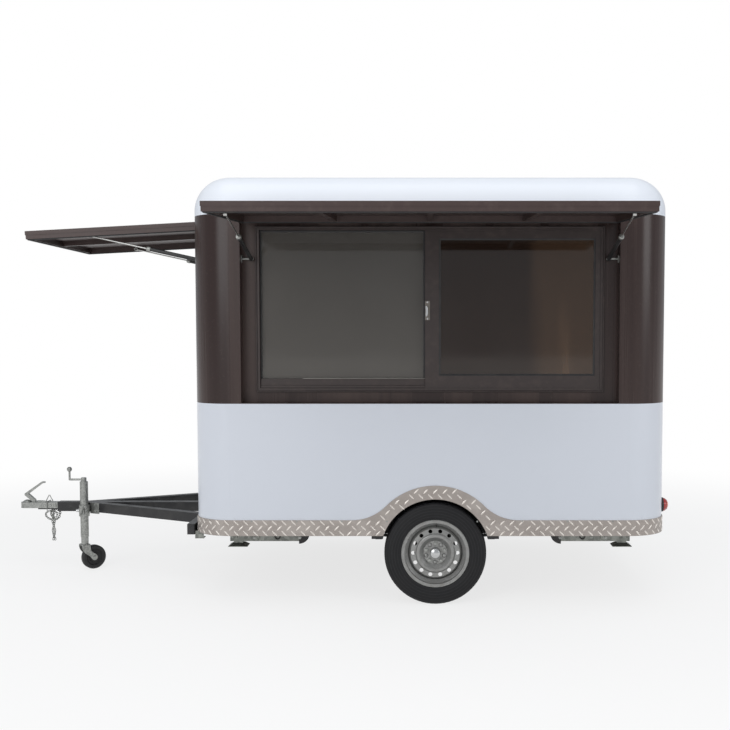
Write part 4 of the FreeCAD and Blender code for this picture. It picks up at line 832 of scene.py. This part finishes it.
def strut_glands(name, half, wall, body):
    """The bright gland at each cylinder's mouth and the grease cap at its eye, on the strut's own line: from
    the base stud to the open hatch's stud, which is the closed stud turned about the hinge."""
    away = np.array([STUD_OUT - HINGE_OUT, -STUD_DROP])
    c, s = math.cos(HATCH_TURN), math.sin(HATCH_TURN)
    stud = np.array([HINGE_OUT + away[0] * c - away[1] * s, HINGE_Z + away[0] * s + away[1] * c])
    along = (stud - STRUT_BASE) / np.linalg.norm(stud - STRUT_BASE)
    gland = np.array([
        (366, 10.8), (368, 13.2), (371, 14.0), (384, 14.0), (388, 12.6), (391, 9.0), (391.6, 4.4),
    ])
    cap = [(0.0, -9.0), (8.0, -9.0), (8.6, -7.0), (8.6, 7.0), (8.0, 9.0), (0.0, 9.0)]
    shapes = []
    for side in (-1, 1):
        centre = STRUT_BASE + along * gland[:, :1]
        path = wall(np.full(len(gland), side * half), centre[:, 1], centre[:, 0])
        shapes.append(tube_along(path, gland[:, 1], 24))
        centre = wall(np.array([side * half]), STRUT_BASE[1:], STRUT_BASE[:1])[0]
        shapes.append(turned_ring(cap, centre, "x" if wall is on_serving else "y", 20))
    piece(name + "_strut_glands", gathered(shapes), PLATED, body, smooth=30.0)


def lower_track():
    """The left pane's track: a brown rail before the glass, with a thin bright strip along part of its top
    that is a painted highlight.
    """
    glass_face = -HALF_WIDTH + RECESS + 26.5
    rail = brick(-891.5, -26.5, glass_face - 19, glass_face, 1138.5, 1187)
    step = brick(-891.5, -26.5, glass_face - 24, glass_face - 19, 1138.5, 1152)
    piece("pane_track", gathered([rail, step]), FRAME_BROWN, BODY, soften=1.2)
    # painted highlight: a thin bright steel strip where the track's top catches the light
    shape = brick(-670, -27, glass_face - 17, glass_face - 1, 1187, 1190)
    piece("pane_track_painted_highlight", shape, COUNTER, BODY, soften=0.6)


def latch():
    """A crescent latch on the mullion: a bent lever over its plate, with two screws."""
    face = -HALF_WIDTH + RECESS - 12.0
    lever = rounded([
        (-24, 1515), (-15, 1512), (-10, 1530), (-11, 1562), (-18, 1572), (-25, 1566), (-21, 1545),
    ])
    piece("latch_lever", slab(lever, -7, 0, upright_at(face)), CHROME, BODY, soften=1.0)
    places = np.array([[-13.0, face + 8, 1502.0], [-13.0, face + 8, 1588.0]])
    bolts("latch_screws", places, [[0.0, -1.0, 0.0]] * 2, 3.2, 1.6, CHROME, BODY)


def chain_link(long=8.8, wide=5.3, wire=2.2, steps=12, sides=6):
    """One link: a small circle carried round a stadium that is cos and sin raised to the power 0.75."""
    u = np.linspace(0, 2 * math.pi, steps, endpoint=False)
    path = np.stack([np.sign(np.cos(u)) * np.abs(np.cos(u)) ** 0.75 * long,
                     np.sign(np.sin(u)) * np.abs(np.sin(u)) ** 0.75 * wide, np.zeros(steps)], -1)
    points, _ = tube_along(path, wire, sides, closed=True)
    return points, grid_faces(steps, sides)


def chained(path):
    """Links at even steps along a path, each turned a quarter from the last."""
    path = np.asarray(path, float)
    run = np.concatenate([[0], np.cumsum(np.linalg.norm(np.diff(path, axis=0), axis=1))])
    count = int(run[-1] / 13.2)
    s = (np.arange(count) + 0.5) * run[-1] / count
    places = np.stack([np.interp(s, run, path[:, k]) for k in range(3)], -1)
    ahead = np.stack([np.interp(s + 1.0, run, path[:, k]) for k in range(3)], -1)
    behind = np.stack([np.interp(s - 1.0, run, path[:, k]) for k in range(3)], -1)
    firsts = ahead - behind
    firsts /= np.linalg.norm(firsts, axis=1)[:, None]
    guide = np.where(np.abs(firsts[:, 1:2]) < 0.9, [[0.0, 1.0, 0.0]], [[1.0, 0.0, 0.0]])
    level = np.cross(firsts, guide)
    level /= np.linalg.norm(level, axis=1)[:, None]
    other = np.cross(firsts, level)
    turn = (np.arange(count) % 2) * math.pi / 2 + 0.6
    seconds = level * np.cos(turn)[:, None] + other * np.sin(turn)[:, None]
    shape, faces = chain_link()
    return repeated(shape, faces, places, firsts, seconds, np.cross(firsts, seconds))


def safety_chain():
    """Two strands twisted once and a half about each other below the plate, and two gathered loops above
    them."""
    t = np.linspace(0, 1, 60)
    shapes = []
    for phase in (0.0, math.pi):
        turn = t * 3 * math.pi + phase
        x = CHAIN_X + 6.5 * np.cos(turn) + t * 3
        shapes.append(chained(np.stack([x, 6.5 * np.sin(turn), 352 - 187 * t], -1)))
    for wide, high, y, middle in ((34, 27, -17, -5), (27, 31, 15, 9)):
        turn = t * 2 * math.pi - math.pi / 2
        x = CHAIN_X + middle + wide * np.cos(turn)
        shapes.append(chained(np.stack([x, y + 9 * np.sin(2 * turn), 321 + high * np.sin(turn)], -1)))
    made = piece("gathered_safety_chain", gathered(shapes), PLATED, BODY, smooth=45.0)
    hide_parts("safety_chain")


def coupler_details():
    """The locking pin's wire clip and hoop over the housing, the swaged rib on its top, bolts and the nose's
    rolled edge."""
    clip = [(CLIP_X + dx, -12, z) for dx, z in ((-22, 404), (-2, 443), (2, 443), (22, 404))]
    bend = ((-36, 350), (-36, 400), (-30, 406), (30, 406), (36, 400), (36, 350))
    hoop = [(CLIP_X - 8, y, z) for y, z in bend]
    shapes = [tube_along(path, 2.6, 12) for path in (clip, hoop)]
    piece("coupler_clip", gathered(shapes), PLATED, BODY, smooth=40.0)
    t = np.linspace(0, 1, 13)
    rib = np.stack([-2440 + 120 * t, np.zeros(13), np.full(13, COUPLER_TOP - 5.0)], -1)
    shape = tube_along(rib, 3.0 + 11.0 * np.sin(math.pi * t) ** 0.5, 20)
    piece("coupler_rib", shape, PLATED, BODY, smooth=40.0)
    places = [[bx, side * 31.0, 383.0] for bx in (-2278.0, -2306.0) for side in (-1, 1)]
    ways = [[0.0, side, 0.0] for _ in range(2) for side in (-1.0, 1.0)]
    bolts("coupler_bolts", places, ways, 8.0, 7.0, PLATED, BODY)
    t = np.linspace(-2.25, 2.25, 25)
    nose = np.stack([BALL_X - 35.0 * np.cos(t), 35.0 * np.sin(t), np.full(25, 368.0)], -1)
    piece("coupler_nose_bead", tube_along(nose, 2.2, 10), PLATED, BODY, smooth=40.0)


def at_fork(u, v, depth):
    """In the castor's own plane: u behind the tube, v up and depth across, turned about the tube."""
    c, s = math.cos(JOCKEY_TURN), math.sin(JOCKEY_TURN)
    return np.stack([JOCKEY_X + u * c - depth * s, JOCKEY_Y + u * s + depth * c, v], -1)


def jockey_details():
    """Swan-necked fork plates whose outline is a rounded polygon, the crown, axle bolt and nut, and the
    clamp's bracket, nut and tommy bar."""
    cheek = rounded([
        (-27, 158), (-28, 138), (-20, 116), (-2, 96), (22, 80), (36, 58), (52, 52), (66, 60), (68, 78),
        (56, 92), (36, 104), (24, 122), (25, 158),
    ])
    shapes = [slab(cheek, low, high, at_fork) for low, high in ((23, 27), (-27, -23))]
    shapes.append(slab([(-25, 150), (24, 150), (24, 156), (-25, 156)], -27, 27, at_fork))
    fork = piece("jockey_fork_plates", gathered(shapes), PLATED, "jockey_fork", soften=0.8)
    bearing = [(22.0, 147.0), (27.0, 147.0), (28.0, 150.0), (26.0, 154.0), (22.0, 155.0)]
    shape = turned_ring(bearing, (JOCKEY_X, JOCKEY_Y, 0), "z", 40)
    piece("jockey_swivel_collar", shape, PLATED, "jockey_fork", smooth=30.0)
    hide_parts("jockey_fork")
    trail, level = np.full(2, JOCKEY_TRAIL), np.full(2, JOCKEY_RADIUS)
    axle = tube_along(at_fork(trail, level, np.array([-31.0, 31.0])), 6.0, 20)
    piece("jockey_axle", axle, PLATED, "jockey_fork", smooth=30.0)
    across = np.array([-math.sin(JOCKEY_TURN), math.cos(JOCKEY_TURN), 0.0])
    places = at_fork(trail, level, np.array([-27.0, 27.0]))
    bolts("jockey_axle_nuts", places, np.stack([-across, across]), 10.5, 9.0, PLATED, "jockey_fork")
    x = np.array([-2056.0, -1993.0])
    along_bar = np.stack([x, -(30 + (x + 2089.3) * 0.544)], -1)
    away = np.array([-0.478, -0.878])
    plan = np.concatenate([along_bar, along_bar[::-1] + away * 5.0])
    bracket = slab(plan, 338, 404, lambda u, v, d: np.stack([u, v, d], -1))
    piece("jockey_bracket", bracket, PLATED, BODY, soften=0.8)
    places = [[-2022.0, -71.5, z] for z in (352.0, 390.0)]
    bolts("jockey_bracket_bolts", places, [[*away, 0.0]] * 2, 8.5, 7.0, PLATED, BODY)
    boss = [(0.0, 0.0), (11.0, 0.0), (11.0, 5.0), (9.0, 7.0), (9.0, 17.0), (6.0, 20.0), (0.0, 20.5)]
    shape = turned_ring(boss, (JOCKEY_X - 30, JOCKEY_Y, 359.0), "x", 24, -1.0)
    piece("jockey_clamp_nut", shape, CHROME, BODY, smooth=30.0)
    bend = ((-12, -127, 340), (-2, -140, 352), (2, -142, 372), (14, -142, 404))
    bar = [(JOCKEY_X + dx, y, z) for dx, y, z in bend]
    piece("jockey_clamp_lever", tube_along(bar, 4.2, 14), PLATED, BODY, smooth=40.0)


def steady_details():
    """For each corner: a black quarter-round stop at the hinge, an eared plate with its bolt, a hanging wire
    eye, and on the leg a flared foot, each a small plate or ring set along the leg."""
    ears, stops, eyes, feet, places, ways = [], [], [], {}, [], []
    turn, arc = np.linspace(0, math.pi / 2, 12), np.linspace(0, math.pi, 13)
    plate = rounded([(-26, 347), (26, 347), (26, 322), (14, 302), (-14, 302), (-26, 322)])
    square = np.array([(-1, -1), (1, -1), (1, 1), (-1, 1)])
    wide, narrow = square * [52, 44], square * [30, 24]
    for end, end_name in ((-1, "front"), (1, "rear")):
        for side, side_name in ((-1, "serving"), (1, "far")):
            stop_x, stop_z = STEADY_X - 58 * np.cos(turn), CHASSIS_LOW - 4 - 56 * np.sin(turn)
            quarter = np.stack([end * np.append(stop_x, STEADY_X), np.append(stop_z, CHASSIS_LOW - 4)], -1)
            stops.append(slab(quarter, 0, side * 4, upright_at(side * (RAIL_Y + 27.0))))
            ears.append(slab(plate + [end * STEADY_EAR, 0], 0, side * 4, upright_at(side * (RAIL_Y + 29.5))))
            eye_x = end * STEADY_EYE + 18 * np.cos(arc)
            eye = np.stack([eye_x, np.full(13, side * (RAIL_Y + 30)), 346 - 34 * np.sin(arc)], -1)
            eyes.append(tube_along(eye, 3.0, 10))
            plan = np.concatenate([wide, wide, narrow, narrow]) + [end * STEADY_FOOT, side * RAIL_Y]
            level = np.repeat([272.5, 276.0, 290.0, 286.5], 4)
            body = "steady_%s_%s" % (end_name, side_name)
            feet[body] = np.concatenate([plan, level[:, None]], 1), grid_faces(4, 4)
            places += [
                [end * STEADY_EAR, side * (RAIL_Y + 33.0), 322.0],
                [end * (STEADY_X - 4), side * (RAIL_Y + 30.0), 322.0],
            ]
            ways += [[0.0, float(side), 0.0]] * 2
    piece("steady_stops", gathered(stops), BLACK, BODY, soften=0.6)
    piece("steady_ears", gathered(ears), ZINC, BODY, soften=0.6)
    piece("steady_wire_eyes", gathered(eyes), BLACK, BODY, smooth=40.0)
    for body, foot in feet.items():
        piece(body + "_foot", foot, ZINC, body, soften=0.6)
    bolts("steady_bolts", places, ways, 7.5, 6.0, PLATED, BODY)


def corner_brackets():
    """Galvanised angle behind the front cross member's ends, and a plastic plug in each of its open ends."""
    irons, plugs = [], []
    for side in (-1, 1):
        for y, top in ((742.0, 328), (786.0, 366)):
            low, high = sorted((side * y, side * 790.0))
            irons.append(brick(CROSS_MEMBER_BACK + 0.5, CROSS_MEMBER_BACK + 47, low, high, 324, top))
        low, high = sorted((side * 799.5, side * 804.0))
        plugs.append(brick(CROSS_MEMBER_FRONT + 2, CROSS_MEMBER_BACK - 2, low, high, 349, 401))
    piece("corner_angle_irons", gathered(irons), ZINC, BODY, soften=0.6)
    piece("cross_member_plugs", gathered(plugs), RUBBER, BODY, soften=1.5)


def tail_lamps():
    """A domed lens turned about each lamp's axis in a black rubber bezel."""
    dome = [
        (0.0, 2.0), (37.0, 2.0), (37.5, 10.0), (35.0, 20.0), (29.0, 28.0), (27.2, 31.0), (24.0, 33.5),
        (14.0, 38.5), (5.0, 40.6), (0.0, 41.0),
    ]
    bezel = [(36.5, 0.0), (39.0, 0.0), (39.0, 8.0), (38.0, 11.0), (36.8, 11.5)]
    centres = [(HALF_LENGTH, side * LAMP_Y, LAMP_Z) for side in (-1, 1)]
    lenses, bezels = (gathered([turned_ring(p, c, "x", 64) for c in centres]) for p in (dome, bezel))
    made = piece("tail_lamp_lenses", lenses, LAMP, BODY, smooth=25.0)
    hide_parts("tail_lamps")
    piece("tail_lamp_bezels", bezels, RUBBER, BODY, smooth=30.0)


def rear_door_details():
    """The rubber lip in the door's gap, a slim edge trim on the leaf, and screws in the hinge leaves."""
    lip = [(0.4, -14.0), (0.4, -5.0), (2.5, -3.5), (5.0, -5.0), (5.0, -14.0)]
    seal = frame_ring(-DOOR_HALF, DOOR_HALF, DOOR_LOW, DOOR_HIGH, lip, on_rear)
    piece("rear_door_seal", seal, RUBBER, BODY, smooth=25.0)
    trim = [(0.0, -2.0), (0.0, 1.2), (1.0, 2.0), (16.0, 2.0), (17.0, 1.2), (17.0, -2.0)]
    half, low, high = DOOR_HALF - 6.5, DOOR_LOW + 6.5, DOOR_HIGH - 6.5
    edging = frame_ring(-half, half, low, high, trim, on_rear)
    piece("rear_door_edging", edging, WHITE, "rear_door", smooth=25.0)
    for name, y, heights, body in (
        ("door_hinge_screws", 386.0, (-33.0, 0.0, 33.0), BODY),
        ("door_leaf_screws", 336.0, (-8.0, 8.0), "rear_door"),
    ):
        middles = [DOOR_LOW + share * (DOOR_HIGH - DOOR_LOW) for share in DOOR_HINGE_SHARES]
        places = [[HALF_LENGTH + 3.5, y, middle + dz] for middle in middles for dz in heights]
        bolts(name, places, [[1.0, 0.0, 0.0]] * len(places), 3.0, 1.4, CHROME, body)


def fixings():
    """Screws along the skirt's upper edge and in the fixed hinge leaves over both hatches."""
    xy, ways = round_body(np.arange(120.0, body_outline(PLATE)[0][-1], 236.0))
    places = np.concatenate([xy, np.full((len(xy), 1), SKIRT_HIGH - 6)], 1)
    bolts("skirt_screws", places, ways, 3.4, 2.0, PLATED, BODY)
    shapes = []
    for half, knuckles, wall in ((SERVING_HATCH_HALF, 11, on_serving), (FRONT_HATCH_HALF, 7, on_front)):
        step = 2 * half / knuckles
        u = np.concatenate([-half + (i + np.array([0.25, 0.75])) * step for i in range(0, knuckles, 2)])
        head, ahead = (wall(u, np.full(len(u), LEAF_SCREW_Z), np.full(len(u), out)) for out in (2.0, 3.0))
        shapes.append(repeated(*bolt(3.0, 1.2), *facing(head, ahead - head)))
    piece("hatch_hinge_screws", gathered(shapes), HINGE, BODY, smooth=30.0)


skirt_bars()
arch_bars()
well_panels()
for side, wheel in ((-1, "serving_wheel"), (1, "far_wheel")):
    tyre("road_" + wheel + "_tyre", side, wheel)
    wheel_details(side, wheel)
seals()
hatch_trim("serving_hatch", SERVING_HATCH_HALF, on_serving, "serving_hatch")
hatch_trim("front_hatch", FRONT_HATCH_HALF, on_front, "front_hatch")
strut_glands("serving", SERVING_STRUT_HALF, on_serving, "serving_strut_cylinders")
strut_glands("front", FRONT_STRUT_HALF, on_front, "front_strut_cylinders")
lower_track()
latch()
safety_chain()
coupler_details()
jockey_details()
steady_details()
corner_brackets()
tail_lamps()
rear_door_details()
fixings()


# Studio


def studio():
    """A wide pale floor, an even pale sky and two soft lamps."""
    half = 60.0
    mesh = bpy.data.meshes.new("studio_floor")
    corners = [(-half, -half, 0.0), (half, -half, 0.0), (half, half, 0.0), (-half, half, 0.0)]
    mesh.from_pydata(corners, [], [(0, 1, 2, 3)])
    floor = bpy.data.objects.new("studio_floor", mesh)
    bpy.context.scene.collection.objects.link(floor)
    f = Finish("pale studio floor")
    cloud = f.noise(0.35, 3.0) * 0.02 + 0.86
    colour = f.node("CombineColor", (), [cloud, cloud, cloud])
    paper = f.node("BsdfDiffuse", (), {"Color": colour})
    glow = f.node("Emission", (), {"Color": (1.0, 1.0, 1.0, 1.0), "Strength": 1.0})
    camera_ray = f.node("LightPath", out="Is Camera Ray")
    glossy_ray = f.node("LightPath", out="Is Glossy Ray")
    through_ray = f.node("LightPath", out="Is Transmission Ray")
    x, y = f.axis("X"), f.axis("Y") - 0.6
    away = ((x * x + y * y) ** 0.5).step(2.6, 6.0)
    share = camera_ray.most(glossy_ray).most(through_ray) * (away * 0.24 + 0.76)
    mixed = f.node("MixShader", (), [share, paper, glow])
    f.node("OutputMaterial", (), [mixed])
    mesh.materials.append(f.material)

    world = bpy.data.worlds.new("pale sky")
    bpy.context.scene.world = world
    world.use_nodes = True
    tree = world.node_tree
    tree.nodes.clear()
    path = tree.nodes.new("ShaderNodeLightPath")
    light = tree.nodes.new("ShaderNodeBackground")
    light.inputs["Color"].default_value = (0.93, 0.96, 1.0, 1.0)
    light.inputs["Strength"].default_value = 0.56
    seen = tree.nodes.new("ShaderNodeBackground")
    seen.inputs["Color"].default_value = (1.0, 1.0, 1.0, 1.0)
    seen.inputs["Strength"].default_value = 1.0
    blend = tree.nodes.new("ShaderNodeMixShader")
    out = tree.nodes.new("ShaderNodeOutputWorld")
    tree.links.new(path.outputs["Is Camera Ray"], blend.inputs[0])
    tree.links.new(light.outputs[0], blend.inputs[1])
    tree.links.new(seen.outputs[0], blend.inputs[2])
    tree.links.new(blend.outputs[0], out.inputs[0])

    for name, place, aim, size, power in (
        ("soft_top_lamp", (0.3, -2.5, 7.0), (0.3, 0.4, 1.2), 7.0, 190.0),
        ("soft_front_lamp", (-4.5, -8.5, 4.2), (0.4, 0.2, 1.1), 5.0, 215.0),
        ("soft_side_lamp", (8.5, -5.0, 3.4), (0.6, 0.4, 1.2), 3.2, 105.0),
    ):
        data = bpy.data.lights.new(name, "AREA")
        data.size = size
        data.energy = power
        lamp = bpy.data.objects.new(name, data)
        bpy.context.scene.collection.objects.link(lamp)
        lamp.location = place
        toward = np.array(aim) - np.array(place)
        lamp.rotation_euler = (
            math.atan2(math.hypot(toward[0], toward[1]), -toward[2]),
            0.0,
            math.atan2(toward[1], toward[0]) - math.pi / 2,
        )


def camera():
    """Level with the window sill on the serving side, a little below the horizon's height."""
    data = bpy.data.cameras.new("view")
    data.lens = 53.75
    data.shift_x = -0.089
    data.shift_y = 0.0494
    thing = bpy.data.objects.new("view", data)
    bpy.context.scene.collection.objects.link(thing)
    thing.location = (MIDDLE[0], MIDDLE[1] - 6.6, 1.426)
    thing.rotation_euler = (math.radians(90 - 3.56), 0.0, 0.0)
    bpy.context.scene.camera = thing


studio()
camera()
bpy.context.scene.view_settings.view_transform = "Standard"
